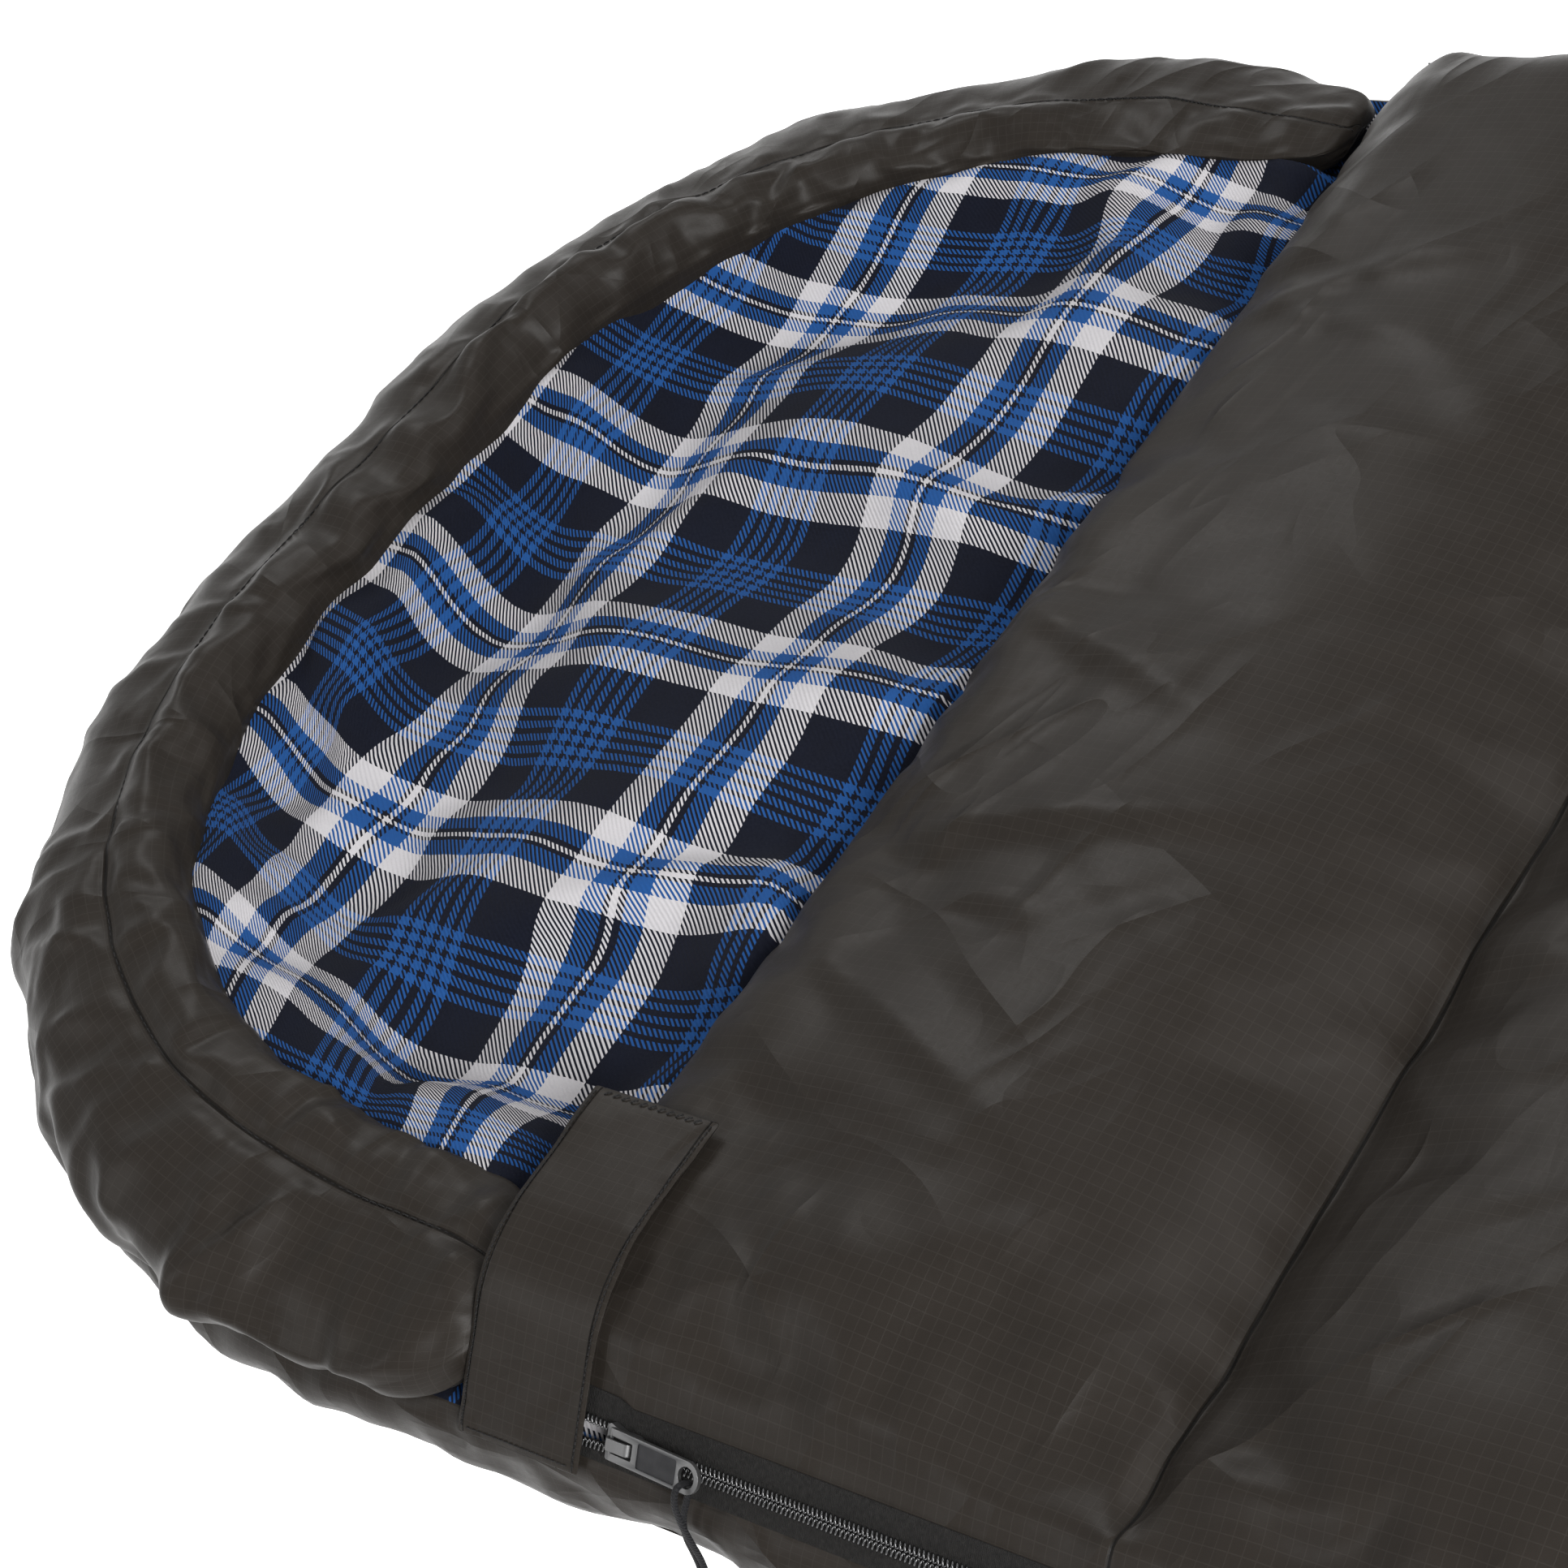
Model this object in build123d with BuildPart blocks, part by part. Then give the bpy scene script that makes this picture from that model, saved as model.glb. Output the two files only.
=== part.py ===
from build123d import *

import os
from math import asin, cos, pi, radians, sin, tan

# Hooded rectangular sleeping bag, closed and laid flat. All lengths are in millimetres.
# +Z is up and the bag lies on Z = 0. The hood is at -X and the foot at +X.
# The zip runs along the -Y side and round the foot. The +Y side is the fold that both quilts share.

# Overall sizes
bag_width = 800.0
body_length = 1900.0  # mouth of the top quilt to the foot
hood_depth = 400.0  # mouth of the top quilt to the crown of the hood
base_loft = 41.0  # thickness of the lower quilt
sleeping_gap = 14.0  # air between the two flannel linings
parting_height = 48.0  # level of the zip chain and of the far side fold
quilt_crown = 96.0  # highest point of each sewn channel
quilt_valley = 66.0  # bottom of the groove at each quilting seam
quilt_lip = 78.0  # height of the rolled ends at the mouth and at the foot
channel_count = 7
hood_front_radius = 320.0
quilt_corner_radius = 30.0

# Cloth
skin = 1.5  # one layer of shell or flannel with its seam allowance
ease = 0.3  # clearance between pieces that rest on each other
base_roll = 14.0  # rounding of the underside
edge_rise = 16.0  # height of the straight bevel beside the zip
crown_reach = 80.0  # quilt edge to the line where the quilt has risen to its crown
section_clearance = 0.6  # end view stays this far above the bevel and the channels' crowns

# Hood rim
rim_width = 92.0
rim_height = 116.0
tunnel_width = 34.0
tunnel_depth = 19.0
drawcord_diameter = 5.0
rim_dip = 1.75  # drop from the rim's crest to the tunnel's seam
edge_drop = 15.0  # drop from the rim's crest to its inner edge
crest_inset = 15.6  # inner edge to the rim's crest
heel_inset = 12.0  # inner edge to the foot of the rim's inner side
shoulder_inset = 12.0  # a point that the rim's outer side curves through
shoulder_height = 93.0
lining_return = 20.0  # underside of the rim that the lining leaves free
hood_near_setback = 16.0  # mouth to the rim's end on the zip side
hood_far_setback = 77.0  # mouth to the rim's end on the fold side

# Zip
zip_tilt = 45.0  # slope of the zip across its width
chain_inset = 16.0  # bulge of the side band beyond the chain
zip_corner_radius = 70.0
tape_width = 13.0  # chain centre to tape edge
tape_thickness = 0.8
coil_width = 3.2  # chain centre to the outside of one coil
coil_height = 2.1
chain_gap = 0.3
coil_gap = 0.1
zip_start = 5.0  # mouth to the first coil
zip_end_margin = 24.0  # last coil to the far side fold
slider_place = 66.0  # mouth to the slider's middle
slider_spread = 2.4  # half opening of the chain at the slider's mouth
zip_spread = 5.0  # half opening of the chain at its start
stop_length = 3.0
stop_round = 0.7

# Slider and pull
slider_length = 14.0
metal_round = 1.2  # rounded corners of the slider's plates
plate_thickness = 1.2
plate_clearance = 0.4
flange = 1.2
channel_clearance = 0.5
bridge_length = 12.0
bridge_width = 4.5
bridge_wall = 1.2
tab_width = 12.0
tab_length = 45.0  # hinge axis to the round end
tab_thickness = 1.8
tab_rim = 1.3
tab_recess = 0.4
tab_hole = 8.0
window_margin = 1.6  # window's end past the bridge
tab_lift = 6.0  # angle at which the tab rests on its cord
cord_diameter = 2.5
knot_diameter = 8.0
knot_length = 6.0
knot_chamfer = 1.2
arc_share = 0.45  # share of a run that the bend at its end may take
cord_place = 34.2  # slider's middle to the cord, where it hangs in the hole of the tab

# Closure flap
flap_width = 60.0
flap_thickness = 2.2
flap_setback = 12.0  # how far the flap reaches past the mouth towards the hood
flap_reach = 114.0  # chain to the flap's sewn end, across the bag
flap_overlap = 18.5  # chain to the flap's free end, down the zip
flap_bend = 60.0
patch_width = 8.5
patch_length = 50.0
patch_round = 1.5
patch_thickness = 1.0

# Places worked out from the sizes above
head_x = -(body_length + hood_depth) / 2
foot_x = -head_x
mouth_x = head_x + hood_depth
near_y = -bag_width / 2
fold_thickness = 1.2
far_y = bag_width / 2 - fold_thickness - ease
quilt_floor = base_loft + sleeping_gap
chain_y = near_y + chain_inset
chain_x = foot_x - chain_inset
tilt_cos = cos(radians(zip_tilt))
tilt_sin = sin(radians(zip_tilt))
tape_seat = tape_thickness / 2 + ease  # zip plane to the quilt edges under it
corner_x = chain_x - zip_corner_radius
corner_y = chain_y + zip_corner_radius
zip_end_y = far_y - zip_end_margin
slider_x = mouth_x + slider_place

os.makedirs("parts", exist_ok=True)


def finish(builder, label):
    """Names a finished piece and writes it."""
    builder.part.label = label
    export_step(builder.part, f"parts/{label}.step")


def zip_point(x, across, out):
    """A point on the near side, given across the zip (up is positive) and out of its plane."""
    return (
        x,
        chain_y + across * tilt_cos - out * tilt_sin,
        parting_height + across * tilt_sin + out * tilt_cos,
    )


def zip_plane(x, out=0.0):
    """The plane of the zip's face at x: local x runs to the foot and local y up across the tapes."""
    return Plane(origin=zip_point(x, 0, out), x_dir=(1, 0, 0), z_dir=(0, -tilt_sin, tilt_cos))


# ---------------------------------------------------------------- lower quilt


def rounded_plan(low_x, high_x, low_y, high_y, radii, inset):
    """A rectangle seen from above, drawn in by inset; radii run from the near foot corner round."""
    with BuildSketch() as plan:
        with BuildLine():
            FilletPolyline(
                (high_x - inset, low_y + inset),
                (high_x - inset, high_y - inset),
                (low_x + inset, high_y - inset),
                (low_x + inset, low_y + inset),
                radius=[radius - inset for radius in radii],
                close=True,
            )
        make_face()
    return plan.sketch


def base_plan(inset):
    """Outline of the lower quilt: a rectangle whose head end is the rounded hood."""
    near_foot = zip_corner_radius + chain_inset
    radii = (near_foot, quilt_corner_radius, hood_front_radius, hood_front_radius)
    return rounded_plan(head_x, foot_x, near_y, far_y, radii, inset)


def base_shoulder(inset):
    """Height at which the side band turns in to follow the zip."""
    side = near_y + inset - chain_y
    return parting_height + (side * tilt_sin - tape_seat - inset) / tilt_cos


def base_block(inset):
    """The lower quilt's outer form, drawn in by inset below and at the sides."""
    with BuildPart() as block:
        extrude(base_plan(inset), amount=base_loft)
        chamfer(block.edges().group_by(Axis.Z)[-1], length=base_loft - base_shoulder(inset))
        fillet(block.edges().group_by(Axis.Z)[0], radius=base_roll - inset)
    return block.part


base_top_inset = (base_loft - base_shoulder(0)) * tan(radians(90 - zip_tilt))

with BuildPart() as base_shell:
    add(base_block(0))
    with Locations((0, 0, skin)):
        add(base_block(skin), mode=Mode.SUBTRACT)
finish(base_shell, "base_shell")

with BuildPart() as base_fill:
    with Locations((0, 0, skin + ease)):
        add(base_block(skin + ease))
    split(bisect_by=Plane.XY.offset(base_loft - skin - ease), keep=Keep.BOTTOM)
finish(base_fill, "base_fill")

lining_inset = base_top_inset + skin / tilt_sin + ease
with BuildPart() as base_lining:
    extrude(base_plan(lining_inset), amount=skin)
base_lining.part.locate(Location((0, 0, base_loft - skin)))
finish(base_lining, "base_lining")


# ------------------------------------------------------------------ top quilt


def quilt_edge(inset):
    """Zip chain to the top quilt's lower edge, in plan, for a form drawn in by inset."""
    rise = quilt_floor - parting_height
    return (rise * tilt_cos + tape_seat + inset) / tilt_sin


def quilt_profile(inset):
    """Side view of the top quilt: one puffed arc for each sewn channel."""
    start = mouth_x
    end = chain_x
    pitch = (end - start) / channel_count
    with BuildSketch(Plane.XZ) as profile:
        with BuildLine():
            Polyline(
                (start, quilt_lip - inset),
                (start - ease, quilt_lip - inset),
                (start - ease, base_loft),
                (end + ease, base_loft),
                (end + ease, quilt_lip - inset),
                (end, quilt_lip - inset),
            )
            for channel in range(channel_count):
                left = quilt_valley if channel > 0 else quilt_lip
                right = quilt_valley if channel < channel_count - 1 else quilt_lip
                crown = (start + (channel + 0.5) * pitch, quilt_crown - inset)
                TangentArc(crown, (start + channel * pitch, left - inset), tangent=(-1, 0))
                TangentArc(crown, (start + (channel + 1) * pitch, right - inset), tangent=(1, 0))
        make_face()
    return profile.sketch


def quilt_section(inset):
    """View of the top quilt from its end: it rises from both sides to the crown."""
    near = chain_y + quilt_edge(0) + edge_rise - section_clearance
    far = far_y - edge_rise + section_clearance
    top = quilt_crown + section_clearance - inset
    shoulder = quilt_floor + edge_rise - inset
    with BuildSketch(Plane.YZ) as section:
        with BuildLine():
            TangentArc((near + crown_reach, top), (near, shoulder), tangent=(-1, 0))
            Line((near + crown_reach, top), (far - crown_reach, top))
            TangentArc((far - crown_reach, top), (far, shoulder), tangent=(1, 0))
            Polyline(
                (near, shoulder),
                (near - 2 * edge_rise, shoulder),
                (near - 2 * edge_rise, base_loft),
                (far + 2 * edge_rise, base_loft),
                (far + 2 * edge_rise, shoulder),
                (far, shoulder),
            )
        make_face()
    return section.sketch


def quilt_block(inset, skirt=0.0):
    """The top quilt's outer form, drawn in by inset above and at the sides.

    A skirt carries its edge straight down, for a block that is cut away.
    """
    edge = quilt_edge(inset)
    shift = inset / tilt_sin
    bevel = edge_rise - inset
    near_foot = zip_corner_radius - edge
    radii = (near_foot, quilt_corner_radius, quilt_corner_radius, quilt_corner_radius)
    limits = (mouth_x + shift, chain_x - edge, chain_y + edge, far_y - shift)
    with BuildPart() as block:
        extrude(rounded_plan(*limits, radii, 0), amount=bevel, taper=90 - zip_tilt)
        with Locations((0, 0, bevel)):
            add(extrude(rounded_plan(*limits, radii, bevel), amount=bag_width, mode=Mode.PRIVATE))
        if skirt:
            extrude(rounded_plan(*limits, radii, 0), amount=-skirt)
    block.part.locate(Location((0, 0, quilt_floor)))
    with BuildPart() as quilt:
        extrude(quilt_profile(inset), amount=bag_width, both=True)
        extrude(quilt_section(inset), amount=body_length, both=True, mode=Mode.INTERSECT)
        add(block.part, mode=Mode.INTERSECT)
    return quilt.part


with BuildPart() as top_shell:
    add(quilt_block(0))
    add(quilt_block(skin, skirt=skin), mode=Mode.SUBTRACT)
finish(top_shell, "top_shell")

with BuildPart() as top_fill:
    add(quilt_block(skin + ease))
    split(bisect_by=Plane.XY.offset(quilt_floor + skin + ease), keep=Keep.TOP)
finish(top_fill, "top_fill")

with BuildPart() as top_lining:
    add(quilt_block(skin + ease))
    split(bisect_by=Plane.XY.offset(quilt_floor + skin), keep=Keep.BOTTOM)
finish(top_lining, "top_lining")

# The strip of shell cloth that folds round the far side and joins the two quilts
with BuildPart() as side_fold:
    with BuildSketch(Plane.YZ.offset(mouth_x)):
        with BuildLine():
            Polyline(
                (far_y + ease, base_shoulder(0) - edge_rise),
                (far_y + ease, quilt_floor),
                (far_y + ease + fold_thickness, parting_height),
                (far_y + ease + fold_thickness, base_shoulder(0) - edge_rise),
                close=True,
            )
        make_face()
    extrude(amount=chain_x - quilt_corner_radius - mouth_x)
finish(side_fold, "side_fold")


# ----------------------------------------------------------------------- hood

rim_floor = base_loft + ease
seam_height = rim_height - rim_dip
edge_height = rim_height - edge_drop
tunnel_outer = rim_width - tunnel_width
tunnel_floor = rim_height - tunnel_depth
drawcord_place = (tunnel_outer + tunnel_width / 2, rim_height - tunnel_depth / 2)


def rim_path():
    """Edge of the hood, from the zip side round the front to the fold side."""
    near_end = Vector(mouth_x - hood_near_setback, near_y, 0)
    far_end = Vector(mouth_x - hood_far_setback, far_y, 0)
    across = (far_end - near_end).cross(Vector(0, 0, 1))
    with BuildLine() as path:
        FilletPolyline(
            (mouth_x, near_y),
            (head_x, near_y),
            (head_x, far_y),
            (mouth_x, far_y),
            radius=hood_front_radius,
        )
        split(bisect_by=Plane(origin=near_end, z_dir=across), keep=Keep.BOTTOM)
    return path.wire()


def rim_section(inset):
    """Cross section of the puffed rim: local x is the distance in from the hood's edge."""
    foot_in = base_top_inset + ease
    seam = (tunnel_outer, seam_height)
    edge = (rim_width, edge_height)
    heel = (rim_width - heel_inset, rim_floor)
    with BuildSketch() as section:
        with BuildLine():
            ThreePointArc((foot_in, rim_floor), (shoulder_inset, shoulder_height), seam)
            ThreePointArc(seam, (rim_width - crest_inset, rim_height), edge)
            Polyline(edge, heel, (foot_in, rim_floor))
        make_face()
        if inset:
            offset(amount=-inset)
    return section.sketch


def rim_sweep(section):
    """Sweeps a cross section round the edge of the hood."""
    path = rim_path()
    if (path @ 0).Y > 0:
        path = Wire(path.wrapped.Reversed())
    start_plane = Plane(origin=path @ 0, x_dir=(0, 1, 0), z_dir=-(path % 0))
    with BuildPart() as rim:
        sweep(start_plane * section, path=path)
    return rim.part


def block_between(low, high):
    """A rectangle between two corners of a cross section."""
    with BuildSketch() as block:
        with Locations(((low[0] + high[0]) / 2, (low[1] + high[1]) / 2)):
            Rectangle(high[0] - low[0], high[1] - low[1])
    return block.sketch


tunnel_block = block_between((tunnel_outer, tunnel_floor), (rim_width + skin, rim_height + skin))
tunnel_room = block_between(
    (tunnel_outer - ease, tunnel_floor - ease), (rim_width + skin, rim_height + skin)
)
shell_side = block_between((0, rim_floor), (tunnel_outer - ease, rim_height + skin))
lining_side = block_between((rim_width / 2, rim_floor), (rim_width + skin, tunnel_floor - ease))

with BuildSketch() as shell_cut:
    add(rim_section(0))
    add(rim_section(skin), mode=Mode.SUBTRACT)
    add(shell_side, mode=Mode.INTERSECT)
    add(block_between((rim_width / 2, rim_floor), (tunnel_outer, tunnel_floor)), mode=Mode.SUBTRACT)
with BuildPart() as hood_shell:
    add(rim_sweep(shell_cut.sketch))
finish(hood_shell, "hood_shell")

with BuildSketch() as lining_cut:
    add(rim_section(0))
    add(rim_section(skin), mode=Mode.SUBTRACT)
    add(lining_side, mode=Mode.INTERSECT)
    with Locations(((rim_width + lining_return) / 2, rim_floor)):
        Rectangle(lining_return + ease, 2 * skin + ease, mode=Mode.SUBTRACT)
with BuildPart() as hood_lining:
    add(rim_sweep(lining_cut.sketch))
finish(hood_lining, "hood_lining")

with BuildSketch() as fill_cut:
    add(rim_section(skin + ease))
    add(tunnel_room, mode=Mode.SUBTRACT)
with BuildPart() as hood_fill:
    add(rim_sweep(fill_cut.sketch))
finish(hood_fill, "hood_fill")

with BuildSketch() as tunnel_cut:
    add(rim_section(0))
    add(tunnel_block, mode=Mode.INTERSECT)
    with Locations(drawcord_place):
        RegularPolygon(drawcord_diameter / 2 + ease, 8, mode=Mode.SUBTRACT)
with BuildPart() as hood_channel:
    add(rim_sweep(tunnel_cut.sketch))
finish(hood_channel, "hood_channel")

with BuildSketch() as cord_cut:
    with Locations(drawcord_place):
        RegularPolygon(drawcord_diameter / 2, 8)
with BuildPart() as hood_drawcord:
    add(rim_sweep(cord_cut.sketch))
finish(hood_drawcord, "hood_drawcord")


# ------------------------------------------------------------------------ zip


def zip_strip(label, side, inner, outer, floor, ceiling):
    """One half of the zip, side +1 on the top quilt and -1 on the lower quilt.

    It opens in a V from the slider to the mouth, runs straight to the foot, turns the corner
    and ends near the far side fold. inner and outer are measured from the chain's centre.
    """
    near_section = Plane(
        origin=zip_point(corner_x, 0, 0), x_dir=(0, tilt_cos, tilt_sin), z_dir=(1, 0, 0)
    )
    foot_section = Plane(
        origin=(chain_x, corner_y, parting_height),
        x_dir=(-tilt_cos, 0, tilt_sin),
        z_dir=(0, 1, 0),
    )
    strip = block_between(
        (min(side * inner, side * outer), floor), (max(side * inner, side * outer), ceiling)
    )
    split_x = slider_x
    mouth_of_slider = slider_x - slider_length / 2
    first_x = mouth_x + zip_start
    with BuildPart() as half:
        extrude(near_section * strip, amount=-(corner_x - split_x))
        revolve(
            near_section * strip,
            axis=Axis((corner_x, corner_y, 0), (0, 0, 1)),
            revolution_arc=90,
        )
        extrude(foot_section * strip, amount=zip_end_y - corner_y)
        with BuildSketch(zip_plane(0, floor)):
            with BuildLine():
                Polyline(
                    (split_x, side * inner),
                    (mouth_of_slider, side * (inner + slider_spread)),
                    (first_x, side * (inner + zip_spread)),
                    (first_x, side * (outer + zip_spread)),
                    (mouth_of_slider, side * (outer + slider_spread)),
                    (split_x, side * outer),
                    close=True,
                )
            make_face()
        extrude(amount=ceiling - floor)
    finish(half, label)


coil_floor = tape_thickness / 2 + coil_gap
coil_top = coil_floor + coil_height
for quilt_name, quilt_side in (("top", 1), ("base", -1)):
    zip_strip(
        f"{quilt_name}_zip_tape",
        quilt_side,
        chain_gap / 2,
        tape_width,
        -tape_thickness / 2,
        tape_thickness / 2,
    )
    zip_strip(
        f"{quilt_name}_zip_coil", quilt_side, chain_gap / 2, coil_width, coil_floor, coil_top
    )
    # The crimped stop that keeps the slider on its coil
    with BuildPart() as stop:
        with BuildSketch(zip_plane(mouth_x + zip_start - stop_length / 2, -tape_thickness / 2)):
            with Locations((0, quilt_side * (zip_spread + coil_width / 2))):
                RectangleRounded(stop_length, coil_width, stop_round)
        extrude(amount=coil_top + tape_thickness / 2)
    finish(stop, f"{quilt_name}_zip_stop")

# Wire staple over both coils at the end of the zip
with BuildPart() as zip_bottom_stop:
    end_plane = Plane(
        origin=(chain_x, zip_end_y, parting_height),
        x_dir=(-tilt_cos, 0, tilt_sin),
        z_dir=(0, 1, 0),
    )
    with BuildSketch(end_plane):
        with Locations((0, (coil_top - tape_thickness / 2) / 2)):
            RectangleRounded(2 * coil_width, coil_top + tape_thickness / 2, stop_round)
    extrude(amount=stop_length)
finish(zip_bottom_stop, "zip_bottom_stop")


# ------------------------------------------------------------- slider and pull

half_length = slider_length / 2
tail_channel = coil_width + channel_clearance
mouth_channel = tail_channel + slider_spread
lower_plate = -tape_thickness / 2 - plate_clearance - plate_thickness
upper_plate = coil_top + plate_clearance
slider_top = upper_plate + plate_thickness
bar_radius = tab_thickness / 2
bar_place = -bridge_length / 2 + bridge_wall + bar_radius + ease
bar_height = slider_top + ease + bar_radius
bridge_inside = bar_height + bar_radius + ease
bridge_top = bridge_inside + bridge_wall


def slider_outline(tail, mouth):
    """Y-shaped plan of the slider, narrow behind and wide where the coils part."""
    with BuildSketch() as outline:
        with BuildLine():
            Polyline(
                (half_length, -tail),
                (half_length, tail),
                (0, tail),
                (-half_length, mouth),
                (-half_length, -mouth),
                (0, -tail),
                close=True,
            )
        make_face()
    return outline.sketch


with BuildSketch() as slider_plan:
    add(slider_outline(tail_channel + flange, mouth_channel + flange))
    fillet(slider_plan.vertices(), radius=metal_round)

with BuildPart() as slider_body:
    # two plates, held together by the wedge that parts the coils
    with BuildSketch(zip_plane(slider_x, lower_plate)):
        add(slider_plan.sketch)
    extrude(amount=plate_thickness)
    with BuildSketch(zip_plane(slider_x, upper_plate)):
        add(slider_plan.sketch)
    extrude(amount=plate_thickness)
    # flanges that keep the coils in, open below for the tapes
    with BuildSketch(zip_plane(slider_x, tape_thickness / 2 + plate_clearance)):
        add(slider_plan.sketch)
        add(slider_outline(tail_channel, mouth_channel), mode=Mode.SUBTRACT)
        with Locations((half_length, 0), (-half_length, 0)):
            Rectangle(plate_thickness * 2, 2 * tail_channel, mode=Mode.SUBTRACT)
    extrude(amount=upper_plate - tape_thickness / 2 - plate_clearance)
    wedge_half = slider_spread + chain_gap / 2 - channel_clearance
    with BuildSketch(zip_plane(slider_x, lower_plate)):
        with BuildLine():
            Polyline(
                (-half_length, wedge_half),
                (-2 * plate_thickness, 0.1 * wedge_half),
                (-2 * plate_thickness, -0.1 * wedge_half),
                (-half_length, -wedge_half),
                close=True,
            )
        make_face()
    extrude(amount=slider_top - lower_plate)
    # the bridge that the pull tab hangs on
    bridge_side = Plane(
        origin=zip_point(slider_x, 0, 0), x_dir=(1, 0, 0), z_dir=(0, -tilt_cos, -tilt_sin)
    )
    with BuildSketch(bridge_side) as bridge:
        with Locations((0, (slider_top + bridge_top) / 2)):
            Rectangle(bridge_length, bridge_top - slider_top)
        fillet(bridge.vertices().group_by(Axis.Y)[-1], radius=2 * bridge_wall)
        with Locations((0, (slider_top + bridge_inside) / 2)):
            Rectangle(
                bridge_length - 2 * bridge_wall, bridge_inside - slider_top, mode=Mode.SUBTRACT
            )
    extrude(amount=bridge_width / 2, both=True)
finish(slider_body, "slider_body")

lift_cos = cos(radians(tab_lift))
lift_sin = sin(radians(tab_lift))
tab_pivot = zip_point(slider_x + bar_place, 0, bar_height)
tab_plane = Plane(
    origin=tab_pivot,
    x_dir=(lift_cos, -lift_sin * tilt_sin, lift_sin * tilt_cos),
    z_dir=(-lift_sin, -lift_cos * tilt_sin, lift_cos * tilt_cos),
)
window_start = bar_radius / 2
window_end = bridge_length - bar_place - bridge_length / 2 + window_margin
window_half = bridge_width / 2 + 1.0
hole_place = tab_length - tab_width / 2
panel_start = window_end + 2 * tab_rim
panel_end = hole_place - tab_hole / 2 - tab_rim

with BuildPart() as pull_tab:
    # frame, from the hinge bar to the round end
    with BuildSketch(tab_plane.offset(-tab_thickness / 2)):
        with Locations((hole_place / 2, 0)):
            Rectangle(hole_place, tab_width)
        with Locations((hole_place, 0)):
            Circle(tab_width / 2)
        with Locations(((window_start + window_end) / 2, 0)):
            RectangleRounded(
                window_end - window_start, 2 * window_half, tab_rim / 2, mode=Mode.SUBTRACT
            )
        with Locations((hole_place, 0)):
            Circle(tab_hole / 2, mode=Mode.SUBTRACT)
    extrude(amount=tab_thickness)
    # sunk panel with a raised rim round it
    with BuildSketch(tab_plane.offset(tab_thickness / 2 - tab_recess)):
        with Locations(((panel_start + panel_end) / 2, 0)):
            RectangleRounded(panel_end - panel_start, tab_width - 2 * tab_rim, 1.0)
    extrude(amount=tab_recess, mode=Mode.SUBTRACT)
    # round hinge bar under the bridge
    bar_plane = Plane(origin=tab_plane.origin, x_dir=tab_plane.x_dir, z_dir=tab_plane.y_dir)
    with BuildSketch(bar_plane):
        Circle(bar_radius)
    extrude(amount=tab_width / 2, both=True)
finish(pull_tab, "pull_tab")

# Pull cord: a loop through the hole of the tab, tied below in a knot. The loop is two legs that
# meet inside the hole, one over the tab's rim and one behind it.
# The points are measured from the tab's hole, the chain and the floor.
cord_x = slider_x + cord_place


def cord_route(points):
    """Route of one leg, from its distances to the tab's hole and to the chain."""
    return [(cord_x + along, chain_y - aside, up) for along, aside, up in points]


front_leg = cord_route(
    [
        (0.0, 8.5, 52.9),
        (0.0, 12.0, 56.4),
        (0.6, 17.0, 52.0),
        (1.5, 19.0, 43.5),
        (2.0, 19.8, 33.0),
        (2.2, 20.0, 22.0),
        (1.9, 21.2, 13.0),
        (1.6, 24.6, 6.4),
        (1.4, 29.5, 4.0),
        (1.4, 37.5, 4.0),
    ]
)
back_leg = cord_route(
    [
        (0.0, 8.5, 52.9),
        (0.0, 5.6, 50.0),
        (-0.8, 10.0, 45.6),
        (-1.5, 15.8, 40.0),
        (-1.9, 18.4, 31.5),
        (-1.9, 18.8, 22.0),
        (-1.7, 20.0, 13.0),
        (-1.5, 23.4, 6.6),
        (-1.4, 28.4, 4.0),
        (-1.4, 37.5, 4.0),
    ]
)


def cord_radii(points):
    """For each corner of a route, 0.45 of the shorter run over the tangent of half the turn."""
    radii = []
    for before, corner, after in zip(points, points[1:], points[2:]):
        run_in = Vector(corner) - Vector(before)
        run_out = Vector(after) - Vector(corner)
        turn = radians(run_in.get_angle(run_out))
        radii.append(arc_share * min(run_in.length, run_out.length) / tan(turn / 2))
    return radii


for leg_name, route in (("front", front_leg), ("back", back_leg)):
    bend_radii = cord_radii(route)
    with BuildPart() as leg:
        with BuildLine() as leg_path:
            FilletPolyline(*route, radius=bend_radii)
        with BuildSketch(Plane(origin=route[0], z_dir=Vector(*route[1]) - Vector(*route[0]))):
            Circle(cord_diameter / 2)
        sweep()
    length = leg_path.wire().length
    section_volume = length * pi * cord_diameter**2 / 4
    print(leg_name, "leg length", round(length, 1), "volume ratio", leg.part.volume / section_volume)
    print(leg_name, "bend radii", [round(radius, 1) for radius in bend_radii])
    finish(leg, f"pull_cord_{leg_name}")

knot_centre = (cord_x, front_leg[-1][1], knot_diameter / 2)
with BuildPart() as pull_cord_knot:
    with BuildSketch(Plane(origin=knot_centre, z_dir=(0, -1, 0))):
        Circle(knot_diameter / 2)
    extrude(amount=knot_length)
    chamfer(pull_cord_knot.edges(), length=knot_chamfer)
finish(pull_cord_knot, "pull_cord_knot")


# --------------------------------------------------------------- closure flap

loop_floor = tape_thickness / 2 + coil_gap
hook_floor = loop_floor + patch_thickness + ease
flap_floor = hook_floor + patch_thickness + ease
flap_middle_x = mouth_x - flap_setback + flap_width / 2
patch_far = flap_overlap - 1.0


def patch(label, floor):
    """One half of the hook-and-loop fastener, lying along the lower zip tape."""
    with BuildPart() as half:
        with BuildSketch(zip_plane(flap_middle_x, floor)):
            with Locations((0, -patch_far + patch_width / 2)):
                RectangleRounded(patch_length, patch_width, patch_round)
        extrude(amount=patch_thickness)
    finish(half, label)


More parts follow.
